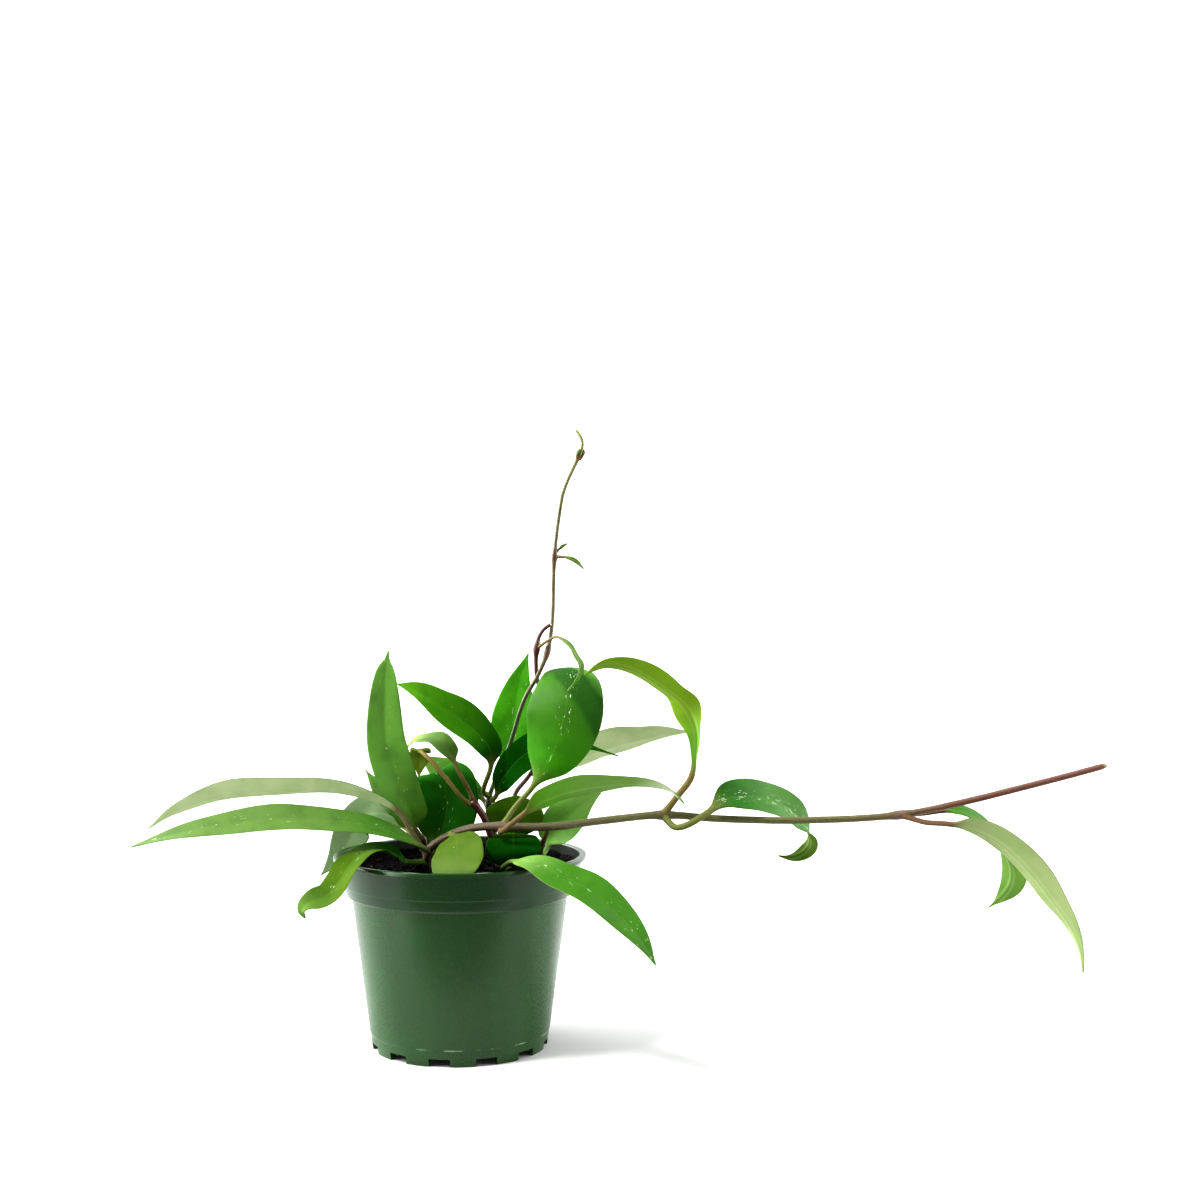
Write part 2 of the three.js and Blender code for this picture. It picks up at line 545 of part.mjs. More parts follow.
function leafSolid({ spine, petiole, radius, width, widest, faces, fold, rows = BLADE.rows, across = 5,
  basePower = 0.8, tipPower = 1.1, flare = BLADE.flare, point = 0 }) {
  const curve = curveThrough(spine);
  const bladeStart = (petiole - 1) / (spine.length - 1);
  const hints = faces.map(vector);
  const stations = [];
  const petioleRows = Math.ceil(1.5 * (petiole - 1));
  for (let i = 0; i < petioleRows; i++) stations.push(i / petioleRows * bladeStart);
  for (let i = 0; i <= rows; i++) stations.push(mix(bladeStart, 1, i / rows));
  const rings = stations.map((t) => {
    const centre = curve.getPoint(t);
    const tangent = curve.getTangent(t);
    const blade = Math.max(0, (t - bladeStart) / (1 - bladeStart));
    const hintAt = blade * (hints.length - 1);
    const from = Math.min(Math.floor(hintAt), hints.length - 1);
    const to = Math.min(from + 1, hints.length - 1);
    const up = hints[from].clone().lerp(hints[to], hintAt - from);
    up.addScaledVector(tangent, -up.dot(tangent)).normalize();
    const right = tangent.clone().cross(up);
    const flat = smooth(blade / flare);
    const half = Math.max(BLADE.tip, width / 2 * outline(blade, widest, basePower, tipPower, point));
    const ring = [];
    for (let k = 0; k < 2 * across; k++) {
      const upper = k < across;
      const place = -1 + 2 * (upper ? k : 2 * across - 1 - k) / (across - 1);
      const turn = (k + 0.5) * Math.PI / across;
      const thick = mix(BLADE.thick, BLADE.edge, Math.max(Math.abs(place), blade));
      const rib = !upper && place === 0 ? BLADE.rib * (1 - blade) : 0;
      const sideways = mix(-radius * Math.cos(turn), half * place, flat);
      const lift = half * fold * Math.abs(place) + (upper ? thick / 2 : -thick / 2 - rib);
      ring.push(centre.clone().addScaledVector(right, sideways)
        .addScaledVector(up, mix(radius * Math.sin(turn), lift, flat)));
    }
    return ring;
  });
  return loft(rings);
}

// Pot

// Outer radius of the plain wall at a height.
function wallRadius(z) {
  return mix(POT.footRadius, POT.wallTopRadius, z / POT.bandFootZ);
}

function bandRadius(z) {
  const top = POT.height - POT.lipDepth;
  return mix(POT.bandFootRadius, POT.bandTopRadius, (z - POT.bandFootZ) / (top - POT.bandFootZ));
}

// Outside of the pot, then its inside, as radius and height round the closed section.
function potSection() {
  const lipFoot = POT.height - POT.lipDepth;
  const inner = (radius) => radius - POT.wall;
  const innerFloor = POT.floorZ + POT.floor;
  const outside = [
    [0, 0], [POT.padRadius, 0], [POT.padRadius + 1, POT.floorZ],
    [POT.footRadius - POT.footWall, POT.floorZ], [POT.footRadius - POT.footWall, 0], [POT.footRadius, 0],
    [wallRadius(POT.footLineZ), POT.footLineZ],
    [wallRadius(POT.footLineZ) + POT.lineDepth, POT.footLineZ + POT.lineRise],
    [POT.wallTopRadius, POT.bandFootZ - POT.lineRise], [POT.bandFootRadius, POT.bandFootZ],
    [bandRadius(POT.bandLineZ), POT.bandLineZ],
    [bandRadius(POT.bandLineZ) + POT.lineDepth, POT.bandLineZ + POT.lineRise],
    [POT.bandTopRadius, lipFoot], [POT.rimRadius, lipFoot + POT.lipRound / 2],
    [POT.rimRadius, POT.height - POT.lipRound], [POT.rimRadius - POT.lipRound, POT.height],
  ];
  const inside = [
    [inner(POT.bandTopRadius) + POT.lipRound, POT.height],
    [inner(POT.bandTopRadius), POT.height - POT.lipRound],
    [inner(POT.bandFootRadius), POT.bandFootZ], [inner(POT.wallTopRadius), POT.shoulderZ],
    [inner(wallRadius(innerFloor)), innerFloor], [0, innerFloor],
  ];
  return { outside, inside };
}

function lathe(section, sides) {
  const geometry = new THREE.LatheGeometry(section.map(([r, z]) => new THREE.Vector2(r, z)), sides);
  geometry.rotateX(Math.PI / 2);
  return geometry;
}

function potSolid() {
  const { outside, inside } = potSection();
  let pot = solidFromGeometry(lathe([...outside, ...inside], POT.sides));
  for (let i = 0; i < NOTCH.count; i++) {
    const notch = new THREE.BoxGeometry(NOTCH.width, 2 * POT.footWall + NOTCH.reach, 2 * NOTCH.height);
    notch.translate(0, -POT.footRadius, 0);
    notch.rotateZ(radians(NOTCH.turn) + i / NOTCH.count * FULL_TURN);
    pot = pot.subtract(solidFromGeometry(notch));
  }
  for (let i = 0; i < DRAIN.count; i++) {
    const drain = new THREE.CylinderGeometry(DRAIN.radius, DRAIN.radius, 4 * POT.floor, DRAIN.sides);
    drain.rotateX(Math.PI / 2);
    drain.translate(0, -DRAIN.ring, POT.floorZ + POT.floor / 2);
    drain.rotateZ(i / DRAIN.count * FULL_TURN);
    pot = pot.subtract(solidFromGeometry(drain));
  }
  return pot;
}

// Soil: fills the pot up to its lumpy top

function soilRise(lumps, x, y) {
  let rise = 0;
  for (const lump of lumps) {
    const away = Math.hypot(x - lump.x, y - lump.y) / SOIL.lumpSpread;
    rise = Math.max(rise, lump.rise * Math.exp(-away * away));
  }
  return rise;
}

function soilSolid() {
  const random = randomFrom(SOIL.seed);
  const floor = POT.floorZ + POT.floor + GAP;
  const inset = POT.wall + 2 * GAP;
  const topRadius = bandRadius(SOIL.topZ - SOIL.lumpRise) - inset;
  const section = [
    [0, floor], [wallRadius(floor) - inset, floor],
    [POT.wallTopRadius - inset, POT.shoulderZ], [POT.bandFootRadius - inset, POT.bandFootZ],
  ];
  for (let i = SOIL.rings; i >= 0; i--) section.push([topRadius * i / SOIL.rings, SOIL.topZ]);
  const lumps = [];
  for (let i = 0; i < SOIL.lumps; i++) {
    const turn = random() * FULL_TURN;
    const out = topRadius * Math.sqrt(random());
    const rise = SOIL.lumpRise * mix(SOIL.leastLump, 1, random());
    lumps.push({ x: out * Math.cos(turn), y: out * Math.sin(turn), rise });
  }
  const geometry = lathe(section, SOIL.sides);
  const position = geometry.attributes.position;
  for (let i = 0; i < position.count; i++) {
    if (position.getZ(i) < SOIL.topZ - 0.01) continue;
    const [x, y] = [position.getX(i), position.getY(i)];
    position.setZ(i, SOIL.topZ - SOIL.lumpRise / 2 + soilRise(lumps, x, y));
  }
  return solidFromGeometry(geometry);
}

// Assembly

const plant = new THREE.Group();

function addPiece(name, solid, look) {
  const material = new THREE.MeshStandardMaterial({ ...LOOKS[look], metalness: 0, side: THREE.FrontSide });
  const mesh = new THREE.Mesh(geometryOf(solid), material);
  mesh.name = name;
  plant.add(mesh);
}

addPiece('pot', potSolid(), 'pot');

let soil = soilSolid();
for (const stem of Object.values(STEMS)) soil = soil.subtract(stemSolid(stem, GAP));
addPiece('soil', mainBody(soil), 'soil');

// A side stem or vine that ends on another stem is trimmed to lie against it.
const TRIMMED_BY = { stem_rooted: 'runner', vine_twining: 'vine_climbing' };

for (const [name, stem] of Object.entries(STEMS)) {
  let solid = stemSolid(stem);
  if (name === 'vine_climbing') for (const leaflet of LEAFLETS) solid = solid.add(leafSolid(leaflet));
  if (TRIMMED_BY[name]) solid = mainBody(solid.subtract(stemSolid(STEMS[TRIMMED_BY[name]], GAP)));
  addPiece(name, solid, stem.look);
}

for (const leaf of LEAVES) {
  const trimmed = leafSolid(leaf).subtract(stemSolid(STEMS[leaf.stem], GAP));
  addPiece(leaf.name, mainBody(trimmed), leaf.look);
}

export default plant;
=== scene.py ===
# %% [markdown]
# # A trailing wax plant in its nursery pot
# This lesson builds one house plant in Blender: a crowded crown of long glossy leaves, a leafy runner that
# reaches out to the right, and two thin vines that twine and climb, all in a green plastic pot. The plant
# has already been made once as plain solids. They are loaded here as a frame, so every finer piece that we
# make has a known place to go to.

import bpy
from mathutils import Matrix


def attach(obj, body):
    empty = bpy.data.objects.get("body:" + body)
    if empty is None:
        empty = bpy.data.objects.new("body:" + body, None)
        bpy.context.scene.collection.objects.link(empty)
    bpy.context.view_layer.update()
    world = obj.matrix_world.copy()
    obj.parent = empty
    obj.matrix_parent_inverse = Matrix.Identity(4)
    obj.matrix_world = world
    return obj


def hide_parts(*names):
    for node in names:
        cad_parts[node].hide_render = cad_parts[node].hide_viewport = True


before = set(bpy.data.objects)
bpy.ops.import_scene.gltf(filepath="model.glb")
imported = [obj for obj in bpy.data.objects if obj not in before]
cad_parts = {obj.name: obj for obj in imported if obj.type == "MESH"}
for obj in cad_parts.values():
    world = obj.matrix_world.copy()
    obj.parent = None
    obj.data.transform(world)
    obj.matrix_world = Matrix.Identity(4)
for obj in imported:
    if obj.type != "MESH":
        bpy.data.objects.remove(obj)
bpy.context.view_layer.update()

# %% [markdown]
# ## Tools and units
# Blender works in metres, and a plant is easier to think of in millimetres, so sizes are written in
# millimetres and turned into metres at the last moment. All chance in this lesson comes from one seeded
# source, so the plant is the same each time.

# %% Millimetres and a steady source of chance
import math
import random

import bmesh
import bpy
from mathutils import Vector, noise

MM = 0.001
FULL_TURN = 2 * math.pi
chance = random.Random(7)
print("one millimetre is", MM, "of a Blender unit")

# %% [markdown]
# ## Starting and finishing a piece
# Operators act on whatever is selected, so each piece starts with nothing selected. When its shape is done,
# its modifiers are applied and its faces are shaded smooth, except across sharp bends. Then the piece is
# told which body it moves with, and the plain solid that it stands for is hidden.

# %% Helpers that start and finish a piece
SMOOTH_BELOW = math.radians(40)


def pick_only(*pieces):
    bpy.ops.object.select_all(action="DESELECT")
    for piece in pieces:
        piece.select_set(True)
    bpy.context.view_layer.objects.active = pieces[0]


def new_piece(name, primitive, **settings):
    """Adds a primitive to start from, and opens it in edit mode."""
    bpy.ops.object.select_all(action="DESELECT")
    primitive(**settings)
    piece = bpy.context.object
    piece.name = name
    piece.data.name = name
    bpy.ops.object.mode_set(mode="EDIT")
    return piece


def close_piece():
    bpy.ops.object.mode_set(mode="OBJECT")


def apply_modifiers(piece):
    pick_only(piece)
    for modifier in list(piece.modifiers):
        bpy.ops.object.modifier_apply(modifier=modifier.name)


def soften(piece, levels=1):
    """Rounds a mesh with a subdivision surface, applied."""
    rounding = piece.modifiers.new("rounding", "SUBSURF")
    rounding.levels = levels
    rounding.render_levels = levels
    apply_modifiers(piece)


def settle(piece, node):
    """Smooth shading, and the piece's place in the plant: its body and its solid."""
    pick_only(piece)
    bpy.ops.object.transform_apply(location=True, rotation=True, scale=True)
    bpy.ops.object.shade_smooth_by_angle(angle=SMOOTH_BELOW)
    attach(piece, "root")
    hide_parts(node)
    print(piece.name, "has", len(piece.data.polygons), "faces")


print("helpers ready: pick_only, new_piece, close_piece, apply_modifiers, soften, settle")

# %% [markdown]
# ## A small kit for materials
# Each finish is a tree of nodes that ends in one Principled shader. The nodes are always the same few: read
# a value that the mesh carries, make soft patches from noise, turn a value into a share between 0 and 1, and
# mix two colours by that share. With a function for each, a finish reads like a recipe.

# %% Functions that add one node each
class Finish:
    """A material with its node tree and its Principled shader at hand."""

    def __init__(self, name):
        self.material = bpy.data.materials.new(name)
        self.material.use_nodes = True
        self.tree = self.material.node_tree
        self.shader = self.tree.nodes["Principled BSDF"]

    def plug(self, value, socket):
        """Puts another node's output, a number or a colour into a socket."""
        if isinstance(value, bpy.types.NodeSocket):
            self.tree.links.new(value, socket)
        elif isinstance(value, tuple) and socket.type == "RGBA":
            socket.default_value = (*value, 1)
        else:
            socket.default_value = value

    def maths(self, operation, *values):
        node = self.tree.nodes.new("ShaderNodeMath")
        node.operation = operation
        for value, socket in zip(values, node.inputs):
            self.plug(value, socket)
        return node.outputs[0]

    def times(self, first, second):
        return self.maths("MULTIPLY", first, second)

    def line(self, value, slope, start):
        """The value times a slope, plus a start."""
        return self.maths("MULTIPLY_ADD", value, slope, start)

    def share(self, value, low, high):
        """0 at the low value and 1 at the high one, with a soft start and end."""
        node = self.tree.nodes.new("ShaderNodeMapRange")
        node.interpolation_type = "SMOOTHSTEP"
        for fact, name in ((value, "Value"), (low, "From Min"), (high, "From Max")):
            self.plug(fact, node.inputs[name])
        return node.outputs["Result"]

    def mix(self, share, first, second):
        node = self.tree.nodes.new("ShaderNodeMix")
        node.data_type = "RGBA"
        factor, colour_a, colour_b = node.inputs[0], node.inputs[6], node.inputs[7]
        for value, socket in ((share, factor), (first, colour_a), (second, colour_b)):
            self.plug(value, socket)
        return node.outputs[2]

    def read(self, name):
        """The three numbers that the mesh carries under this name."""
        node = self.tree.nodes.new("ShaderNodeAttribute")
        node.attribute_name = name
        parts = self.tree.nodes.new("ShaderNodeSeparateXYZ")
        self.plug(node.outputs["Vector"], parts.inputs[0])
        return parts.outputs

    def place(self, x, y, z):
        node = self.tree.nodes.new("ShaderNodeCombineXYZ")
        for value, socket in zip((x, y, z), node.inputs):
            self.plug(value, socket)
        return node.outputs[0]

    def object_place(self):
        """The place on the piece in millimetres."""
        node = self.tree.nodes.new("ShaderNodeTexCoord")
        scale = self.tree.nodes.new("ShaderNodeMapping")
        scale.inputs["Scale"].default_value = (1 / MM,) * 3
        self.plug(node.outputs["Object"], scale.inputs["Vector"])
        return scale.outputs[0]

    def patches(self, place, size, detail=2.0, warp=0.0):
        """Soft random patches of about this size in millimetres, as a value round 0.5."""
        node = self.tree.nodes.new("ShaderNodeTexNoise")
        self.plug(place, node.inputs["Vector"])
        node.inputs["Scale"].default_value = 1 / size
        node.inputs["Detail"].default_value = detail
        node.inputs["Distortion"].default_value = warp
        return node.outputs[0]

    def bump(self, height, depth):
        """Raises the surface by the height's share of a depth in millimetres."""
        node = self.tree.nodes.new("ShaderNodeBump")
        node.inputs["Distance"].default_value = depth * MM
        self.plug(height, node.inputs["Height"])
        self.plug(node.outputs[0], self.shader.inputs["Normal"])

    def cover(self, colour, roughness, mirroring):
        """Gives the surface its colour, how rough it is and how strongly it mirrors."""
        facts = (("Base Color", colour), ("Roughness", roughness), ("Specular IOR Level", mirroring))
        for name, fact in facts:
            self.plug(fact, self.shader.inputs[name])


print("a finish can plug, do maths, share, mix, read, place, find patches, bump and cover")

# %% [markdown]
# ## The white studio
# The plant stands on a plain white table, in front of nothing but white. The table is far wider and deeper
# than the picture, and ends a little in front of the pot, so that the plastic doesn't mirror more white than
# it should. It is lit until it is pure white, and only soft grey shadows are left on it.

# %% The floor
FLOOR_WIDTH = 12_000
FLOOR_FRONT = 90        # how far it reaches in front of the pot's middle
PAPER_WHITE = (0.48, 0.48, 0.48)

floor = new_piece(
    "floor", bpy.ops.mesh.primitive_plane_add, size=FLOOR_WIDTH * MM,
    location=(0, (FLOOR_WIDTH / 2 - FLOOR_FRONT) * MM, 0),
)
close_piece()
paper = Finish("white_paper")
paper.cover(PAPER_WHITE, roughness=0.9, mirroring=0.5)
floor.data.materials.append(paper.material)
print("the floor is", FLOOR_WIDTH * MM, "m wide")

# %% [markdown]
# ## Light
# The photograph has a key light high up in front on the left, which throws the shadows to the right and
# back. A sun lamp with a wide angle works like a softbox, and lights the whole floor evenly. The rest of the
# studio is the world: a large soft wall of light on the left, a weaker one on the right, the white backdrop
# behind and a soft ceiling, while the room in front is dark. So the pot has a broad sheen on both sides, the
# leaves gleam along their edges, and the depths of the crown stay nearly black.

# %% A key light and a studio all round
KEY = {"strength": 2.8, "disc": 11, "turn": -55, "height": 56}
STUDIO = {
    # name: way it lies, brightness, how near to that way it starts and is full
    "left": ((-0.97, 0.2, 0.1), 9.0, 0.42, 1.0),
    "right": ((0.97, 0.2, 0.1), 5.2, 0.42, 1.0),
    "behind": ((0, 1, 0), 1.0, -0.2, 0.8),
    "ceiling": ((0, 0, 1), 0.6, 0.3, 1.0),
}
ROOM = 0.04
BACKDROP = 1.4

bpy.ops.object.select_all(action="DESELECT")
bpy.ops.object.light_add(
    type="SUN", rotation=(math.radians(90 - KEY["height"]), 0, math.radians(KEY["turn"])),
)
key = bpy.context.object
key.name = "key"
key.data.energy = KEY["strength"]
key.data.angle = math.radians(KEY["disc"])

world = bpy.data.worlds.new("white_studio")
bpy.context.scene.world = world
world.use_nodes = True
sky = world.node_tree.nodes
wires = world.node_tree.links
way = sky.new("ShaderNodeTexCoord")
brightness = None
for name, (side, strength, low, high) in STUDIO.items():
    toward = sky.new("ShaderNodeVectorMath")
    toward.operation = "DOT_PRODUCT"
    toward.inputs[1].default_value = side
    wires.new(way.outputs["Generated"], toward.inputs[0])
    wall = sky.new("ShaderNodeMapRange")
    wall.interpolation_type = "SMOOTHSTEP"
    for socket, fact in (("From Min", low), ("From Max", high), ("To Min", ROOM), ("To Max", strength)):
        wall.inputs[socket].default_value = fact
    wires.new(toward.outputs["Value"], wall.inputs["Value"])
    brighter = sky.new("ShaderNodeMath")
    brighter.operation = "MAXIMUM"
    wires.new(wall.outputs["Result"], brighter.inputs[0])
    if brightness:
        wires.new(brightness, brighter.inputs[1])
    brightness = brighter.outputs[0]
fill = sky["Background"]
fill.inputs["Color"].default_value = (1, 1, 1, 1)
wires.new(brightness, fill.inputs["Strength"])
backdrop = sky.new("ShaderNodeBackground")
backdrop.inputs["Color"].default_value = (1, 1, 1, 1)
backdrop.inputs["Strength"].default_value = BACKDROP
seen = sky.new("ShaderNodeLightPath")
either = sky.new("ShaderNodeMixShader")
wires.new(seen.outputs["Is Camera Ray"], either.inputs[0])
wires.new(fill.outputs[0], either.inputs[1])
wires.new(backdrop.outputs[0], either.inputs[2])
wires.new(either.outputs[0], sky["World Output"].inputs["Surface"])
print("the studio has", 1 + len(STUDIO), "lights:", "key,", ", ".join(STUDIO))

# %% [markdown]
# ## The camera
# The photograph was taken from straight in front with a level camera, about 74 cm from the pot's middle and
# 20 cm above the table. The picture is square, and its centre lies to the right of the pot.

# %% A level camera in front
CAMERA = {"right": 63.3, "back": 744, "up": 201}
PICTURE = 1200          # pixels across the photograph
FOCAL = 1640            # its focal length in those pixels
SENSOR = 36

bpy.ops.object.select_all(action="DESELECT")
bpy.ops.object.camera_add(
    location=(CAMERA["right"] * MM, -CAMERA["back"] * MM, CAMERA["up"] * MM),
    rotation=(math.pi / 2, 0, 0),
)
camera = bpy.context.object
camera.data.sensor_fit = "HORIZONTAL"
camera.data.sensor_width = SENSOR
camera.data.lens = FOCAL / PICTURE * SENSOR
bpy.context.scene.camera = camera
bpy.context.scene.view_settings.view_transform = "Standard"
bpy.context.scene.view_settings.look = "High Contrast"
print("the lens is", round(camera.data.lens, 1), "mm long")

# %% [markdown]
# ## The pot's section
# A moulded pot is round, so its whole form is one section that is turned about the middle. The section is
# drawn as a thin line: out from the middle of the underside, up the wall, the band and the lip, and back
# down the inside to the floor. Its corners are bevelled while it is still a line, which is quicker and
# cleaner than rounding the edges of the finished pot.

# %% Draw half of the pot's section
POT = {
    "height": 86, "rim": 57, "lip": 1.9, "band_top": 55.4, "band_foot": 51.2, "band_foot_z": 69,
    "band_line_z": 73.4, "wall_top": 48.8, "foot": 39.3, "foot_line_z": 7, "line": 0.3, "line_rise": 0.4,
    "shoulder_z": 66.5, "wall": 1.3, "floor_z": 3.4, "floor": 1.4, "foot_wall": 2.2, "pad": 13,
    "pad_slope": 1,
}
CORNER = 0.28
CORNER_STEPS = 3
SECTION_TURNS = 144
SAME_PLACE = 0.01       # corners nearer than this are one


def level(low, high, share):
    return low + (high - low) * share


def wall_radius(z):
    return level(POT["foot"], POT["wall_top"], z / POT["band_foot_z"])


def band_radius(z):
    share = (z - POT["band_foot_z"]) / (POT["height"] - POT["lip"] - POT["band_foot_z"])
    return level(POT["band_foot"], POT["band_top"], share)


def spin_section(name, section, round_corners):
    """Draws a section of (radius, height) points as a line, and turns it into a closed round solid."""
    piece = new_piece(name, bpy.ops.mesh.primitive_plane_add, size=MM)
    bpy.ops.mesh.merge(type="CENTER")
    here = Vector((0, 0, 0))
    for count, (radius, height) in enumerate(section):
        there = Vector((radius, 0, height)) * MM
        if count == 0:
            bpy.ops.transform.translate(value=there)
        else:
            bpy.ops.mesh.extrude_region_move(TRANSFORM_OT_translate={"value": there - here})
        here = there
    if round_corners:
        shape = bmesh.from_edit_mesh(piece.data)
        for corner in shape.verts:
            corner.select_set(len(corner.link_edges) == 2)
        bmesh.update_edit_mesh(piece.data)
        bpy.ops.mesh.bevel(offset=CORNER * MM, segments=CORNER_STEPS, affect="VERTICES", clamp_overlap=True)
    bpy.ops.mesh.select_all(action="SELECT")
    bpy.ops.mesh.spin(steps=SECTION_TURNS, angle=FULL_TURN, center=(0, 0, 0), axis=(0, 0, 1))
    bpy.ops.mesh.select_all(action="SELECT")
    bpy.ops.mesh.remove_doubles(threshold=SAME_PLACE * MM)
    bpy.ops.mesh.normals_make_consistent(inside=False)
    close_piece()
    return piece


lip_foot = POT["height"] - POT["lip"]
inner_floor = POT["floor_z"] + POT["floor"]
foot_inside = POT["foot"] - POT["foot_wall"]
underside = [
    (0, 0), (POT["pad"], 0), (POT["pad"] + POT["pad_slope"], POT["floor_z"]),
    (foot_inside, POT["floor_z"]), (foot_inside, 0), (POT["foot"], 0),
]
outside = [
    (wall_radius(POT["foot_line_z"]), POT["foot_line_z"]),
    (wall_radius(POT["foot_line_z"]) + POT["line"], POT["foot_line_z"] + POT["line_rise"]),
    (POT["wall_top"], POT["band_foot_z"] - POT["line_rise"]),
    (POT["band_foot"], POT["band_foot_z"]),
    (band_radius(POT["band_line_z"]), POT["band_line_z"]),
    (band_radius(POT["band_line_z"]) + POT["line"], POT["band_line_z"] + POT["line_rise"]),
    (POT["band_top"], lip_foot),
    (POT["rim"], lip_foot),
    (POT["rim"], POT["height"]),
]
inside = [
    (POT["band_top"] - POT["wall"], POT["height"]),
    (POT["band_foot"] - POT["wall"], POT["band_foot_z"]),
    (POT["wall_top"] - POT["wall"], POT["shoulder_z"]),
    (wall_radius(inner_floor) - POT["wall"], inner_floor),
    (0, inner_floor),
]
pot = spin_section("nursery_pot", underside + outside + inside, round_corners=True)
print("the section has", len(underside + outside + inside), "points")

# %% [markdown]
# ## Notches and drain holes
# Water runs out through holes in the raised floor and away through notches in the foot ring. Each is a
# simple block or rod that is taken out of the pot, which is what the mould's own pins do. The cutters of one
# kind are placed in a ring, joined into one, and taken away in one cut.

# %% Cut the notches and the drains
NOTCH = {"count": 12, "width": 9.5, "height": 3.4, "reach": 4, "turn": -8.5}
DRAIN = {"count": 6, "radius": 4, "ring": 25, "sides": 40, "reach": 4}


def add_notch_block(turn):
    out = Vector((math.sin(turn), -math.cos(turn), 0)) * POT["foot"] * MM
    bpy.ops.object.select_all(action="DESELECT")
    bpy.ops.mesh.primitive_cube_add(size=1, location=out, rotation=(0, 0, turn))
    depth = 2 * POT["foot_wall"] + NOTCH["reach"]
    bpy.context.object.scale = Vector((NOTCH["width"], depth, 2 * NOTCH["height"])) * MM
    return bpy.context.object


def add_drain_rod(turn):
    out = Vector((math.sin(turn), -math.cos(turn), 0)) * DRAIN["ring"]
    bpy.ops.object.select_all(action="DESELECT")
    bpy.ops.mesh.primitive_cylinder_add(
        vertices=DRAIN["sides"], radius=DRAIN["radius"] * MM, depth=DRAIN["reach"] * POT["floor"] * MM,
        location=(out + Vector((0, 0, POT["floor_z"] + POT["floor"] / 2))) * MM,
    )
    return bpy.context.object


def cut_ring(piece, add_cutter, count, first_turn=0):
    cutters = [add_cutter(first_turn + i / count * FULL_TURN) for i in range(count)]
    pick_only(*cutters)
    bpy.ops.object.join()
    cut = piece.modifiers.new("cut", "BOOLEAN")
    cut.object = cutters[0]
    cut.operation = "DIFFERENCE"
    cut.solver = "EXACT"
    apply_modifiers(piece)
    bpy.data.objects.remove(cutters[0])


cut_ring(pot, add_notch_block, NOTCH["count"], math.radians(NOTCH["turn"]))
cut_ring(pot, add_drain_rod, DRAIN["count"])
print("cut", NOTCH["count"], "notches and", DRAIN["count"], "drains")

# %% [markdown]
# ## Moulded green plastic
# The plastic is a deep green with a satin face. Seen close it isn't quite even: it has a very fine grain,
# faint clouds and a few pale scuffs. The grain is a slight bump and a small change of colour and gloss, and
# the fine line near the foot carries a painted highlight here and there. The band is smoother than the wall
# and painted darker, as painted shade from the leaves above it. Inside the band, above the soil, the plastic
# is painted nearly black as the shade inside the pot.

# %% The pot's finish
GREEN_PLASTIC = (0.010, 0.052, 0.007)
GREY_PLASTIC = (0.013, 0.048, 0.010)
DARK_SPECK = (0.007, 0.022, 0.006)
PALE_SPECK = (0.055, 0.120, 0.046)
# painted shade: inside the band, above the soil, the plastic is painted nearly black for the shade in the
# pot
INSIDE_PAINTED_SHADE = (0.003, 0.004, 0.003)
# pale wear for the scuffs, and a painted highlight on the fine line near the foot
PALE_WEAR_AND_HIGHLIGHT = (0.20, 0.30, 0.16)
# painted shade: the band is darker where the leaves above it shade it
BAND_PAINTED_SHADE = (0.001, 0.028, 0.001)
LINE_EDGE = 0.15
FOOT_LINE = (POT["foot_line_z"] + LINE_EDGE, POT["foot_line_z"] + LINE_EDGE + POT["line_rise"])
BAND_SLOPE = (POT["band_top"] - POT["band_foot"]) / (lip_foot - POT["band_foot_z"])
INSIDE_SHADE_EDGE = 0.1        # the painted shade fades within this
INSIDE_SHADE_DEPTH = 0.5       # how far below the lip's top it is full
PATCHES = {"cloud": 14, "grain": 0.5, "scuff": 2.2, "foot_line_highlight": 6}        # sizes
SHOWS = {"scuffs": 0.2, "band": 0.75, "inside_shade": 0.9}                     # how strongly

plastic = Finish("green_plastic")
place = plastic.object_place()
clouds = plastic.patches(place, PATCHES["cloud"], detail=3)
grain = plastic.patches(place, PATCHES["grain"], detail=2)
colour = plastic.mix(plastic.share(clouds, 0.4, 0.65), GREEN_PLASTIC, GREY_PLASTIC)
colour = plastic.mix(plastic.share(grain, 0.60, 0.78), colour, DARK_SPECK)
colour = plastic.mix(plastic.share(grain, 0.40, 0.26), colour, PALE_SPECK)
scuffs = plastic.share(plastic.patches(place, PATCHES["scuff"], detail=4), 0.72, 0.78)
colour = plastic.mix(plastic.times(scuffs, SHOWS["scuffs"]), colour, PALE_WEAR_AND_HIGHLIGHT)
x, y, z = plastic.tree.nodes.new("ShaderNodeSeparateXYZ").outputs
plastic.plug(place, x.node.inputs[0])
# painted highlight: pale patches along the fine line near the foot
line_foot = plastic.share(z, FOOT_LINE[0] - LINE_EDGE, FOOT_LINE[0])
line_top = plastic.share(z, FOOT_LINE[1] + LINE_EDGE, FOOT_LINE[1])
foot_line_highlight = plastic.share(plastic.patches(place, PATCHES["foot_line_highlight"], detail=3), 0.45, 0.6)
foot_line_highlight = plastic.times(foot_line_highlight, plastic.times(line_foot, line_top))
colour = plastic.mix(foot_line_highlight, colour, PALE_WEAR_AND_HIGHLIGHT)
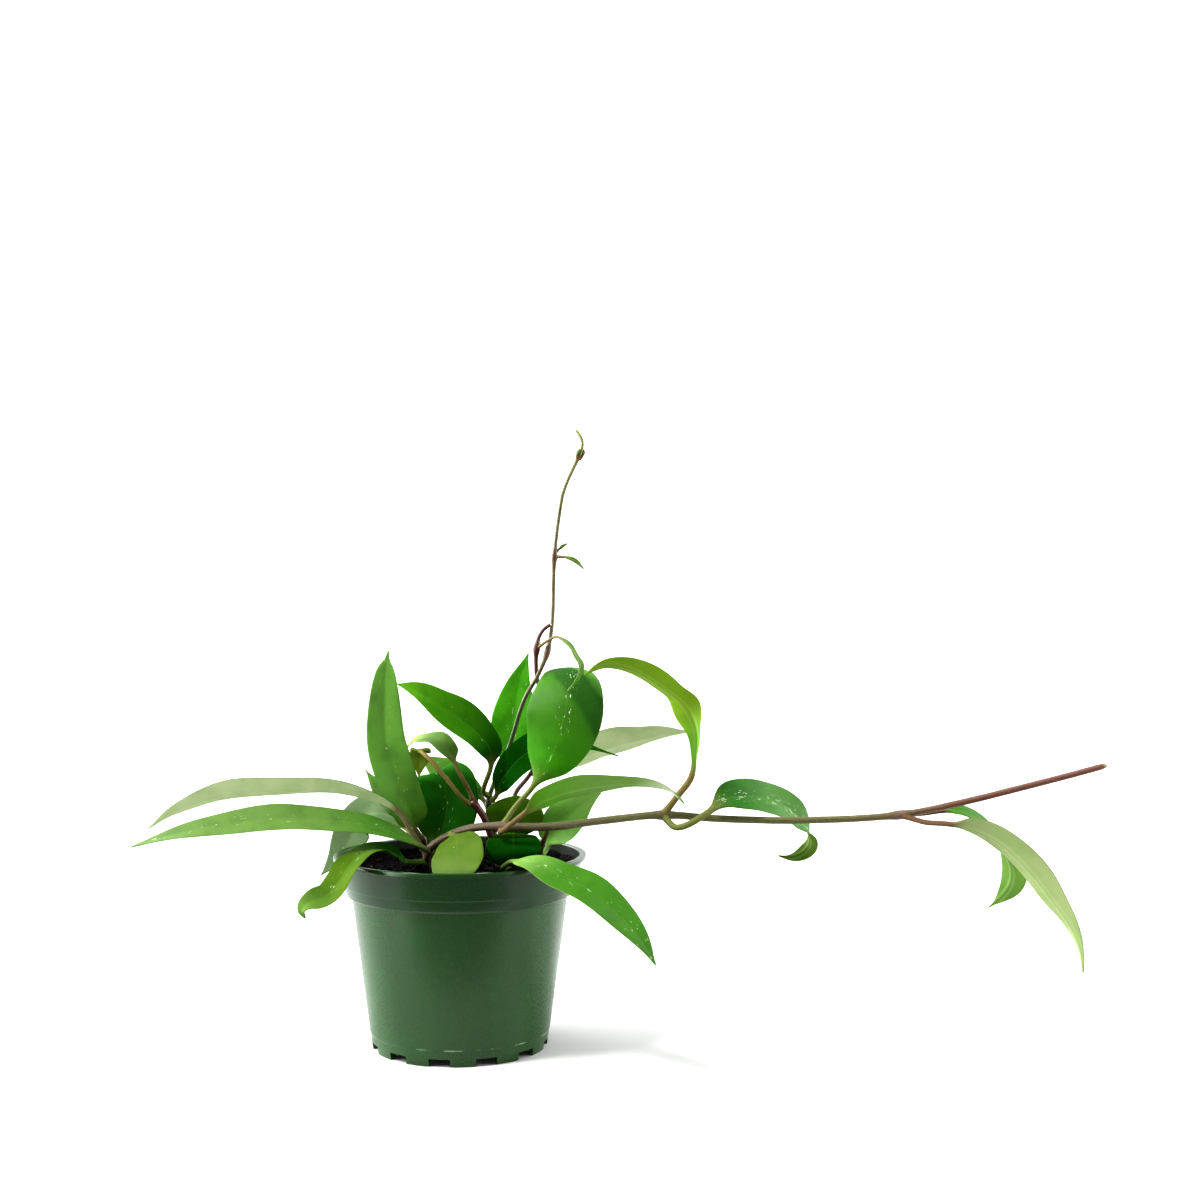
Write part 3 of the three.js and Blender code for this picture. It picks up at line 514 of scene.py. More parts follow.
# where the painted shade goes: inside the band's wall, above the shoulder and below the lip
radius = plastic.maths("SQRT", plastic.line(x, x, plastic.times(y, y)))
above_foot = plastic.maths("SUBTRACT", z, POT["band_foot_z"])
middle_of_wall = plastic.line(above_foot, BAND_SLOPE, POT["band_foot"] - POT["wall"] / 2)
inside_band = plastic.share(plastic.maths("SUBTRACT", radius, middle_of_wall), INSIDE_SHADE_EDGE, -INSIDE_SHADE_EDGE)
above_shoulder = plastic.share(z, POT["band_foot_z"] - INSIDE_SHADE_EDGE, POT["band_foot_z"] + INSIDE_SHADE_EDGE)
below_lip = plastic.share(z, POT["height"] - INSIDE_SHADE_EDGE, POT["height"] - INSIDE_SHADE_DEPTH)
inside_shade_mask = plastic.times(inside_band, plastic.times(above_shoulder, below_lip))
# painted shade on the band, then painted shade inside the pot above the soil
colour = plastic.mix(plastic.times(above_shoulder, SHOWS["band"]), colour, BAND_PAINTED_SHADE)
colour = plastic.mix(plastic.times(inside_shade_mask, SHOWS["inside_shade"]), colour, INSIDE_PAINTED_SHADE)
roughness = plastic.line(grain, 0.14, 0.21)
roughness = plastic.line(above_shoulder, -0.06, roughness)
plastic.cover(colour, plastic.maths("MAXIMUM", roughness, inside_shade_mask), mirroring=0.55)
plastic.bump(grain, 0.05)
pot.data.materials.append(plastic.material)
settle(pot, "pot")

# %% [markdown]
# ## Potting mix
# The mix is dark, moist and crumbly. It starts as a turned section like the pot, with many rings on top, and
# its top is then raised in lumps and crumbs by two sizes of noise, and climbs a little where it meets the
# pot.

# %% Raise the crumbly soil
SOIL = {
    "top_z": 79.6, "rings": 64, "inset": 1.9, "lump": 12, "rise": 1.9, "crumb": 2.6, "crumb_rise": 1.1,
    "climb": 2.6, "climb_width": 6, "gap": 0.3,
}

soil_floor = inner_floor + SOIL["gap"]
soil_rim = band_radius(SOIL["top_z"]) - SOIL["inset"]
soil_side = [
    (0, soil_floor),
    (wall_radius(soil_floor) - SOIL["inset"], soil_floor),
    (POT["wall_top"] - SOIL["inset"], POT["shoulder_z"]),
    (POT["band_foot"] - SOIL["inset"], POT["band_foot_z"]),
]
soil_top = [(soil_rim * i / SOIL["rings"], SOIL["top_z"]) for i in range(SOIL["rings"], -1, -1)]
soil = spin_section("potting_mix", soil_side + soil_top, round_corners=False)


def soil_height(x, y):
    """Height of the crumbly top, in millimetres."""
    lumps = noise.noise(Vector((x, y, 0)) / SOIL["lump"])
    crumbs = noise.noise(Vector((x, y, 9)) / SOIL["crumb"])
    near_wall = max(0, 1 - (soil_rim - math.hypot(x, y)) / SOIL["climb_width"])
    rise = SOIL["rise"] * lumps + SOIL["crumb_rise"] * crumbs + SOIL["climb"] * near_wall ** 2
    return SOIL["top_z"] + rise


for corner in soil.data.vertices:
    x, y, z = corner.co / MM
    if z > SOIL["top_z"] - SAME_PLACE:
        corner.co.z = soil_height(x, y) * MM
print("the soil has", len(soil.data.vertices), "points")

# %% [markdown]
# ## Bits of bark
# Bark chips and a few pale grains lie in the mix. One chip is modelled from a rough ball, and is copied with
# its own size, turn and tint each time. The copies are sunk into the top and joined to the soil.

# %% Scatter bark chips and pale grains
CHIPS = 300
CHIP_SIZES = (0.7, 2.6)
CHIP_SHAPE = (1, 0.7, 0.45)
CHIP_SPREAD = 0.97      # of the soil's radius
CHIP_LIFT = 0.2         # of its size
CHIP_TILT = 0.6
DARKEST_CHIP = 0.15

chip = new_piece("chip", bpy.ops.mesh.primitive_ico_sphere_add, subdivisions=2, radius=1)
bpy.ops.transform.vertex_random(offset=0.22, seed=3)
bpy.ops.mesh.normals_make_consistent(inside=False)
close_piece()
chips = []
for _ in range(CHIPS):
    out = soil_rim * CHIP_SPREAD * math.sqrt(chance.random())
    turn = FULL_TURN * chance.random()
    x, y = out * math.cos(turn), out * math.sin(turn)
    size = level(*CHIP_SIZES, chance.random() ** 3)
    tint = chance.random()
    copy = chip.copy()
    copy.data = chip.data.copy()
    bpy.context.collection.objects.link(copy)
    copy.location = Vector((x, y, soil_height(x, y) + CHIP_LIFT * size)) * MM
    copy.rotation_euler = (CHIP_TILT * chance.random(), CHIP_TILT * chance.random(), turn)
    copy.scale = Vector(CHIP_SHAPE) * size * MM
    tints = copy.data.attributes.new("chip_tint", "FLOAT", "POINT")
    tints.data.foreach_set("value", [level(DARKEST_CHIP, 1, tint)] * len(copy.data.vertices))
    chips.append(copy)
bpy.data.objects.remove(chip)
pick_only(soil, *chips)
bpy.ops.object.join()
print("scattered", CHIPS, "chips")

# %% [markdown]
# ## Dark moist mix
# The soil carries no tint and stays nearly black: dark moist peat, darkened further as painted shade
# inside the pot. The chips' own tint runs from dark peat over brown and pinkish bark to a few pale grains.

# %% The soil's finish
# dark peat, darkened further as painted shade inside the pot
SHADED_MOIST_PEAT = (0.0006, 0.0005, 0.0005)
SHADED_DRY_PEAT = (0.003, 0.002, 0.0015)
BROWN_BARK = (0.022, 0.011, 0.006)
PALE_GRAIN = (0.24, 0.17, 0.12)

peat = Finish("moist_mix")
place = peat.object_place()
crumbs = peat.patches(place, 1.6, detail=5)
tint = peat.tree.nodes.new("ShaderNodeAttribute")
tint.attribute_name = "chip_tint"
tint = tint.outputs["Fac"]
colour = peat.mix(peat.share(crumbs, 0.45, 0.7), SHADED_MOIST_PEAT, SHADED_DRY_PEAT)
colour = peat.mix(peat.share(tint, 0.55, 0.85), colour, BROWN_BARK)
colour = peat.mix(peat.share(tint, 0.95, 0.98), colour, PALE_GRAIN)
peat.cover(colour, peat.share(crumbs, 1.1, 0.1), mirroring=0.02)
peat.bump(crumbs, 0.5)
soil.data.materials.append(peat.material)
settle(soil, "soil")

# %% [markdown]
# ## A smooth way through hand-placed points
# Every stem and midrib follows a few listed points. The curve through them is the centripetal kind of
# Catmull-Rom spline: it passes each point without loops or overshoot, however uneven they are.

# %% A curve through points
ROUTE_STEPS = 400


class Route:
    """A smooth curve through points in millimetres, from share 0 to share 1."""

    def __init__(self, points):
        self.points = [Vector(point) for point in points]
        self.spans = len(points) - 1

    def at(self, share):
        whole = min(max(share, 0), 1) * self.spans
        first = min(int(whole), self.spans - 1)
        step = whole - first
        b, c = self.points[first], self.points[first + 1]
        a = self.points[first - 1] if first > 0 else 2 * b - c
        d = self.points[first + 2] if first + 2 <= self.spans else 2 * c - b
        before, over, after = (math.sqrt((q - p).length) for p, q in ((a, b), (b, c), (c, d)))
        leave = ((b - a) / before - (c - a) / (before + over) + (c - b) / over) * over
        arrive = ((c - b) / over - (d - b) / (over + after) + (d - c) / after) * over
        bend = 3 * (c - b) - 2 * leave - arrive
        settle_in = 2 * (b - c) + leave + arrive
        return b + leave * step + bend * step ** 2 + settle_in * step ** 3

    def heading(self, share):
        near = 0.0005
        return (self.at(share + near) - self.at(share - near)).normalized()

    def lengths(self):
        """Distance from the start at each of many even shares."""
        places = [self.at(i / ROUTE_STEPS) for i in range(ROUTE_STEPS + 1)]
        so_far = [0.0]
        for here, there in zip(places, places[1:]):
            so_far.append(so_far[-1] + (there - here).length)
        return so_far


def share_at(lengths, distance):
    """The share of a route at a distance along it."""
    for i in range(1, len(lengths)):
        if lengths[i] >= distance:
            part = (distance - lengths[i - 1]) / (lengths[i] - lengths[i - 1])
            return (i - 1 + part) / (len(lengths) - 1)
    return 1.0


straight = Route([(0, 0, 0), (10, 0, 0), (20, 0, 0)])
print("a straight route of 20 mm measures", round(straight.lengths()[-1], 2))

# %% [markdown]
# ## One blank for stems and leaves
# A stem is a long rod, and so is a leaf: its petiole is round, and its blade is the same rod pressed wide
# and flat. Both start as a cylinder whose long edges are cut into rings. Each corner of the rod then knows
# its ring, from its height, and its turn round the rod, and is laid in its own place from those two.

# %% A rod with rings
def rod_blank(name, sides, rings):
    rod = new_piece(name, bpy.ops.mesh.primitive_cylinder_add, vertices=sides, radius=1, depth=2)
    bpy.ops.mesh.select_all(action="DESELECT")
    bpy.ops.mesh.select_mode(type="EDGE")
    shape = bmesh.from_edit_mesh(rod.data)
    for edge in shape.edges:
        low, high = edge.verts
        edge.select_set(abs(high.co.z - low.co.z) > 1)
    bmesh.update_edit_mesh(rod.data)
    bpy.ops.mesh.subdivide(number_cuts=rings - 2)
    bpy.ops.mesh.select_mode(type="VERT")
    close_piece()
    return rod


def carry(piece, name, kind, values):
    """Stores one value for each corner of the mesh, for the materials to read."""
    store = piece.data.attributes.new(name, kind, "POINT")
    if kind == "FLOAT_VECTOR":
        store.data.foreach_set("vector", [number for value in values for number in value])
    else:
        store.data.foreach_set("value", values)


test_rod = rod_blank("test_rod", 8, 5)
print("a rod of 8 sides and 5 rings has", len(test_rod.data.vertices), "corners")
bpy.data.objects.remove(test_rod)

# %% [markdown]
# ## Laying a stem
# A stem keeps almost the same thickness all the way, and swells where a pair of leaves grows or once grew.
# The rings are turned along the route without twisting: each ring's side direction is the last one's,
# straightened against the new heading. The last ring is smaller and lies in the same plane as the one
# before, which gives a flat cut end.

# %% Lay a rod along a stem's route
NODE_SPREAD = 2.6
RING_STEP = 1.3
STEM_SIDES = 14
CUT_END = 0.5
UNEVEN = 0.05
UNEVEN_SIZE = 3


def nearness(distance, spot):
    """1 at a swelling, and softly less along the stem on both sides of it."""
    return math.exp(-((distance - spot) / NODE_SPREAD) ** 2)


def lay_stem(name, path, radius, nodes, tip=1.0):
    """radius has the radius at both ends, nodes the path's points that swell and their radius, and tip how
    much of its radius the end keeps."""
    route = Route(path)
    lengths = route.lengths()
    whole = lengths[-1]
    rings = round(whole / RING_STEP)
    swellings = [(lengths[round(spot / route.spans * ROUTE_STEPS)], size) for spot, size in nodes]
    side = Vector((1, 0.2, 0))
    frames = []
    for ring in range(rings):
        distance = whole * min(1, ring / (rings - 2))
        share = share_at(lengths, distance)
        heading = route.heading(share)
        side = (side - side.dot(heading) * heading).normalized()
        size = level(*radius, distance / whole)
        for spot, swollen in swellings:
            size += (swollen - size) * nearness(distance, spot)
        if ring == rings - 1:
            size *= CUT_END
        if ring >= rings - 2:
            size *= tip
        frames.append((route.at(share), side, heading.cross(side), size, distance))
    stem = rod_blank(name, STEM_SIDES, rings)
    bark, joint = [], []
    for corner in stem.data.vertices:
        ring = round((corner.co.z + 1) / 2 * (rings - 1))
        turn = math.atan2(corner.co.y, corner.co.x)
        centre, right, ahead, size, distance = frames[ring]
        place = centre + size * (math.cos(turn) * right + math.sin(turn) * ahead)
        place += UNEVEN * size * noise.noise(place / UNEVEN_SIZE) * (place - centre).normalized()
        corner.co = place * MM
        bark.append((turn * size, distance, distance / whole))
        swell = max([nearness(distance, spot) for spot, _ in swellings], default=0)
        joint.append((swell, float(ring == rings - 1), 0))
    carry(stem, "bark", "FLOAT_VECTOR", bark)
    carry(stem, "joint", "FLOAT_VECTOR", joint)
    soften(stem)
    print(name, "is", round(whole), "mm long, with", len(nodes), "nodes")
    return stem


# %% [markdown]
# ## Bark and young stem
# The old runner is brown at its foot, olive further out and reddish towards its end, with mauve nodes and
# pale specks of cork. Young stems are deep green at the foot and then maroon, but the climbing vine turns
# olive and, near its tip, yellow-green. One recipe does for all: a colour from foot to tip, another over the
# nodes, long streaks, and specks that stand out a little.

# %% The stems' finish
CORK = (0.30, 0.25, 0.19)
CUT_WOOD = (0.42, 0.36, 0.24)
STREAK_BROWN = (0.03, 0.015, 0.01)
STREAK_STRETCH = 0.12
BLEND = 0.12            # share of the length over which one colour gives way to the next


def stem_finish(name, foot, middle, top, node, turns=(0.35, 0.65)):
    """Colours from the foot to the top, and the shares of the length at which they change."""
    skin = Finish(name)
    around, along, share = skin.read("bark")
    swell, end, _ = skin.read("joint")
    place = skin.object_place()
    colour = skin.mix(skin.share(share, turns[0] - BLEND, turns[0] + BLEND), foot, middle)
    colour = skin.mix(skin.share(share, turns[1] - BLEND, turns[1] + BLEND), colour, top)
    streaks = skin.patches(skin.place(around, skin.times(along, STREAK_STRETCH), 0.0), 0.7, detail=3)
    darker = skin.mix(0.45, colour, STREAK_BROWN)
    colour = skin.mix(skin.share(streaks, 0.45, 0.7), colour, darker)
    worn = skin.times(swell, skin.share(skin.patches(place, 1.5, detail=3), 0.3, 0.55))
    colour = skin.mix(worn, colour, node)
    specks = skin.share(skin.patches(place, 0.8, detail=2), 0.66, 0.74)
    colour = skin.mix(skin.times(specks, 0.6), colour, CORK)
    colour = skin.mix(end, colour, CUT_WOOD)
    skin.cover(colour, skin.line(streaks, 0.3, 0.24), mirroring=0.45)
    skin.bump(skin.maths("ADD", streaks, specks), 0.25)
    return skin.material


MAUVE_BARK = (0.120, 0.080, 0.062)
DULL_BROWN = (0.095, 0.070, 0.042)
OLIVE_BARK = (0.090, 0.092, 0.026)
RED_BARK = (0.110, 0.045, 0.028)
MAROON = (0.065, 0.018, 0.014)
OLIVE_SKIN = (0.085, 0.070, 0.024)
YELLOW_GREEN = (0.16, 0.17, 0.05)
DEEP_GREEN_SKIN = (0.030, 0.060, 0.010)

runner_bark = stem_finish(
    "runner_bark", DULL_BROWN, OLIVE_BARK, RED_BARK, MAUVE_BARK, turns=(0.25, 0.72),
)
green_stem = stem_finish("green_stem", DEEP_GREEN_SKIN, OLIVE_SKIN, YELLOW_GREEN, MAROON, turns=(0.4, 0.88))
red_stem = stem_finish("red_stem", DEEP_GREEN_SKIN, MAROON, MAROON, MAROON, turns=(0.3, 0.7))
print("stem finishes:", runner_bark.name, green_stem.name, red_stem.name)

# %% [markdown]
# ## The runner
# The runner is the one thick old stem. It leaves the soil at the left of the crown, arches over the rim, and
# reaches far out to the right. It has three swollen nodes with leaves, and ends where it was cut.

# %% Lay the runner
runner = lay_stem(
    "runner_stem", radius=(1.95, 1.45), nodes=[(5, 2.7), (8, 2.9), (11, 2.5)],
    path=[
        (-15, 2, 66), (-15.5, 0, 80), (-13, -8, 89.5), (-2, -14, 97), (9.5, -18, 100.5), (20, -20, 101),
        (41, -17, 100.5), (63.5, -9, 102), (92, 0, 103.5), (118, 2, 101.5), (154.5, 4, 100.5),
        (201, 8, 102.5), (228.5, 8, 108), (255.5, 6, 115), (275.5, 4, 120.5), (294.5, 2, 126),
    ],
)
runner.data.materials.append(runner_bark)
settle(runner, "runner")

# %% [markdown]
# ## The short stems in the crown
# Three short stems stand in the soil, and carry a few leaves each on a swollen top that ends in a worn stub.
# A thin rooted shoot runs down from the runner, and carries one leaf.

# %% Lay the crown's stems
CROWN_STEMS = {
    "stem_centre": dict(
        radius=(1.6, 1.7), nodes=[(4, 2.4)], tip=0.7,
        path=[(18, 5, 66), (17, 4, 80), (14, 1, 93), (10.5, -1, 103), (5.5, -2, 110)],
    ),
    "stem_left": dict(
        radius=(1.6, 1.7), nodes=[(3, 2.3)], tip=0.7,
        path=[(-15, 12, 66), (-16, 11, 78), (-17, 9, 86), (-18.5, 7.5, 93)],
    ),
    "stem_right": dict(
        radius=(1.6, 1.6), nodes=[(3, 2.3)], tip=0.7,
        path=[(29, 1, 66), (29, 0, 78), (27, -4, 85), (25.5, -6, 89)],
    ),
    "stem_rooted": dict(
        radius=(1.2, 1.2), nodes=[],
        path=[(33, -2, 66), (35.5, -4, 81), (37, -8, 90), (40.5, -16.5, 100)],
    ),
}
CROWN_SKINS = {
    "stem_centre": (red_stem, "red_stem"), "stem_left": (red_stem, "red_stem"),
    "stem_right": (runner_bark, "runner_bark"), "stem_rooted": (green_stem, "green_stem"),
}

for node, facts in CROWN_STEMS.items():
    skin, slot = CROWN_SKINS[node]
    stem = lay_stem(node.replace("stem_", "crown_stem_"), **facts)
    stem.data.materials.append(skin)
    settle(stem, node)

# %% [markdown]
# ## Two twining vines
# The vines have the same form as the stems and are thinner. The second one winds round the first and ends on
# it. The climbing vine is kept open here, because its smallest leaves are joined to it further down.

# %% Lay the vines
vine = lay_stem(
    "climbing_vine", radius=(1.15, 0.8), nodes=[(3, 1.8), (8, 1.7), (11, 1.5), (14, 1.2)], tip=0.8,
    path=[
        (20, 11, 66), (19, 11, 80), (15, 11, 93), (12, 11, 107.5), (16, 12, 120.5), (22, 10, 135),
        (29, 3, 156), (35.5, -1.5, 167.5), (39.5, -1, 177.5), (41.5, 1, 190), (42.2, 1, 209),
        (42.6, 0, 220.5), (44.6, -1, 238), (47, -3, 250.5), (53.5, -4, 265.5), (55.6, -4, 272),
        (52, -2, 278.5),
    ],
)
vine.data.materials.append(green_stem)

twiner = lay_stem(
    "twining_vine", radius=(1.2, 0.9), nodes=[(9, 1.8)],
    path=[
        (25, 13, 66), (24, 13, 80), (22.5, 15, 100), (24, 19, 111), (30.5, 21, 119.5), (36, 20, 130.5),
        (37.5, 15, 145.5), (36, 8, 158.5), (34.4, 3.5, 167), (34.5, 0.5, 179), (35.5, 1, 184),
        (38, -0.5, 188), (41, -2, 190),
    ],
)
twiner.data.materials.append(red_stem)
settle(twiner, "vine_twining")

# %% [markdown]
# ## How a leaf is pressed from a rod
# A leaf is a rod that follows its midrib. Its first part stays round and is the petiole. Then it is pressed
# flat, within a short way, and its width follows one formula: a sine wave that is pushed towards the base or
# the tip, with a power for each end that makes it blunt or drawn out, and a narrow drip tip on some leaves.
# The blade is thick at the midrib and thins to a rounded margin. Both halves rise from the midrib like an
# open book, the margin waves a little, the upper side has a fine groove, and the underside a raised rib.

# %% Lay a rod as a leaf
LEAF_SIDES = 24
LEAF_RINGS = 46
BLADE = {"thick": 1.1, "edge": 0.75, "tip": 0.3, "rib": 0.7, "rib_width": 0.12, "groove": 0.25, "drip": 0.14}
FLARE = 0.13            # share of the blade over which the petiole is pressed flat
SECTION_PULL = 1.5      # draws the rod's corners towards the midrib, where the blade bends most
MARGIN_ROUND = 0.4
STALK_FOOT = 0.45       # how much the petiole thickens where it joins the stem
STALK_FOOT_LENGTH = 3
PETIOLE_SHARE = 0.28    # of the rings
WAVE_SHIFT = {"leaf": 1.7, "half": 2}
SEED_GAP = 40           # millimetres between the patches of one leaf and the next


def eased(share):
    share = min(max(share, 0), 1)
    return share * share * (3 - 2 * share)


def blade_outline(at, widest, base_power, tip_power, point):
    """Half width of a blade as a share of its largest, from its base at 0 to its tip at 1."""
    body = min(1, at / (1 - point))
    turned = body ** (math.log(0.5) / math.log(widest))
    full = abs(math.sin(math.pi * turned)) ** (base_power if body < widest else tip_power)
    if point > 0 and at > 0.5:
        return max(full, BLADE["drip"] * min(1, (1 - at) / point))
    return full


def facing(faces, share):
    """The way the upper side looks at this share of the blade."""
    spot = share * (len(faces) - 1)
    first = min(int(spot), len(faces) - 1)
    second = min(first + 1, len(faces) - 1)
    return Vector(faces[first]).lerp(Vector(faces[second]), spot - first)


def lay_leaf(name, spine, faces, petiole, radius, width, widest, fold, base_power=0.8, tip_power=1.1,
             flare=FLARE, point=0, wave=(0.5, 2.5), rings=LEAF_RINGS, crease=1, seed=0):
    """petiole is how many of the spine's points come up to the blade, point the drip tip's share of the
    blade, wave the height and number of the margin's waves, and crease how softly it bends at its midrib."""
    route = Route(spine)
    lengths = route.lengths()
    blade_start = (petiole - 1) / route.spans
    stalk_rings = round(rings * PETIOLE_SHARE)
    frames = []
    for ring in range(rings):
        if ring < stalk_rings:
            share = blade_start * ring / stalk_rings
        else:
            share = level(blade_start, 1, (ring - stalk_rings) / (rings - 1 - stalk_rings))
        blade = max(0, (share - blade_start) / (1 - blade_start))
        heading = route.heading(share)
        up = facing(faces, blade)
        up = (up - up.dot(heading) * heading).normalized()
        frames.append((share, blade, route.at(share), heading.cross(up), up))
    leaf = rod_blank(name, LEAF_SIDES, rings)
    across, form, stalk = [], [], []
    for corner in leaf.data.vertices:
        turn = math.atan2(corner.co.y, corner.co.x) % FULL_TURN
        share, blade, centre, right, up = frames[round((corner.co.z + 1) / 2 * (rings - 1))]
        upper = 1 if turn < math.pi else -1
        pull = -math.cos(turn)
        place = math.copysign(abs(pull) ** SECTION_PULL, pull)
        flat = eased(blade / flare)
        half = max(BLADE["tip"], width / 2 * blade_outline(blade, widest, base_power, tip_power, point))
        thick = level(BLADE["thick"], BLADE["edge"], max(abs(place), blade))
        thick *= abs(math.sin(turn)) ** MARGIN_ROUND
        midrib = math.exp(-(place / BLADE["rib_width"]) ** 2) * (1 - blade)
        relief = -BLADE["groove"] * midrib if upper > 0 else -BLADE["rib"] * midrib
        ripple = wave[0] * place * abs(place) * half / width * 2
        shift = WAVE_SHIFT["leaf"] * seed + (WAVE_SHIFT["half"] if place > 0 else 0)
        ripple *= math.sin(FULL_TURN * wave[1] * blade + shift)
        rise = half * fold * abs(place) ** crease + upper * thick / 2 + relief + ripple
        foot = 1 + STALK_FOOT * math.exp(-(share * lengths[-1] / STALK_FOOT_LENGTH) ** 2)
        sideways = level(radius * foot * pull, half * place, flat)
        rise = level(radius * foot * math.sin(turn), rise, flat)
        corner.co = (centre + sideways * right + rise * up) * MM
        along = lengths[round(share * (len(lengths) - 1))]
        across.append((half * place, along, SEED_GAP * seed))
        form.append((place, blade, upper))
        stalk.append(1 - eased((blade + 0.02) / (flare + 0.03)))
    carry(leaf, "blade", "FLOAT_VECTOR", across)
    carry(leaf, "form", "FLOAT_VECTOR", form)
    carry(leaf, "stalk", "FLOAT", stalk)
    soften(leaf)
    return leaf


print("a leaf's rod has", LEAF_SIDES, "sides and", LEAF_RINGS, "rings")

# %% [markdown]
# ## Greens
# The leaves differ much in colour, so each one names its own greens, three for the upper side and three for
# the underside, from its base to its tip. The names stand for a few mixed colours, as on a palette.

# %% The palette
GREENS = {
    # painted shade: a nearly black green for the shaded end of a leaf
    "black": (0.001, 0.009, 0.001),
    "deep": (0.004, 0.048, 0.002),
    "bottle": (0.013, 0.092, 0.004),
    "mid": (0.036, 0.122, 0.006),
    "bright": (0.050, 0.220, 0.004),
    "moss": (0.062, 0.128, 0.010),
    "olive": (0.058, 0.104, 0.008),
    "leaf": (0.070, 0.190, 0.014),
    "sage": (0.080, 0.148, 0.030),
    "slate": (0.070, 0.105, 0.050),
    "meadow": (0.120, 0.265, 0.045),
    "lime": (0.110, 0.295, 0.022),
    "fresh": (0.170, 0.280, 0.014),
    "yellow": (0.190, 0.260, 0.034),
    "grey": (0.145, 0.225, 0.090),
    "dusty": (0.215, 0.265, 0.125),
    "soft": (0.160, 0.280, 0.070),
    "pale": (0.330, 0.430, 0.170),
    "milk": (0.400, 0.480, 0.270),
    # painted light: a glow of light shining through a blade
    "cream": (0.640, 0.700, 0.520),
}
STALKS = {
    "maroon": (0.075, 0.022, 0.015),
    "brown": (0.110, 0.070, 0.034),
    "tan": (0.115, 0.085, 0.022),
    "olive": (0.095, 0.110, 0.022),
    "green": (0.060, 0.130, 0.015),
}
SILVER = (0.62, 0.70, 0.56)
EDGE_BROWN = (0.090, 0.070, 0.030)
print("greens:", ", ".join(GREENS))

# %% [markdown]
# ## The skin of a leaf
# The upper side is glossy, with a faint pale midrib and silvery flecks, the plant's own mark: short dashes
# that lie along the midrib, and sparse dots further out. The underside is matt and paler, with a thin dark
# line round its edge and paler strips beside the rib. Both sides have soft clouds, and their side veins
# hardly show. The largest leaf also has a painted shadow across it, a dark bar.

# %% A finish for one leaf
SKIN_PATCHES = {"cloud": 9, "fine": 1.4, "dash": 1.3, "dot": 0.8}       # sizes
SKIN_SHOWS = {                                                          # how strongly
    "rib": 0.12, "flecks": 0.6, "shadow_bar": 0.65, "strips": 0.12, "edge": 0.7, "veins": 0.01, "freckles": 0.18,
}
FLECKS = {"dash": 0.76, "dot": 0.85, "more": 0.12, "soft": 0.03}
DASH_STRETCH = (2.2, 0.5)


def three_greens(skin, share, names):
    """One name stands for all three."""
    greens = [GREENS[name] for name in names.split()]
    base, middle, tip = greens if len(greens) > 1 else greens * 3
    colour = skin.mix(skin.share(share, 0.05, 0.45), base, middle)
    return skin.mix(skin.share(share, 0.55, 0.88), colour, tip)


def fleck(skin, place, kind, flecks):
    """Spots where soft noise is above a level. The level is lower when more of the leaf is flecked."""
    low = FLECKS[kind] - FLECKS["more"] * flecks
    return skin.share(skin.patches(place, SKIN_PATCHES[kind], detail=1), low, low + FLECKS["soft"])


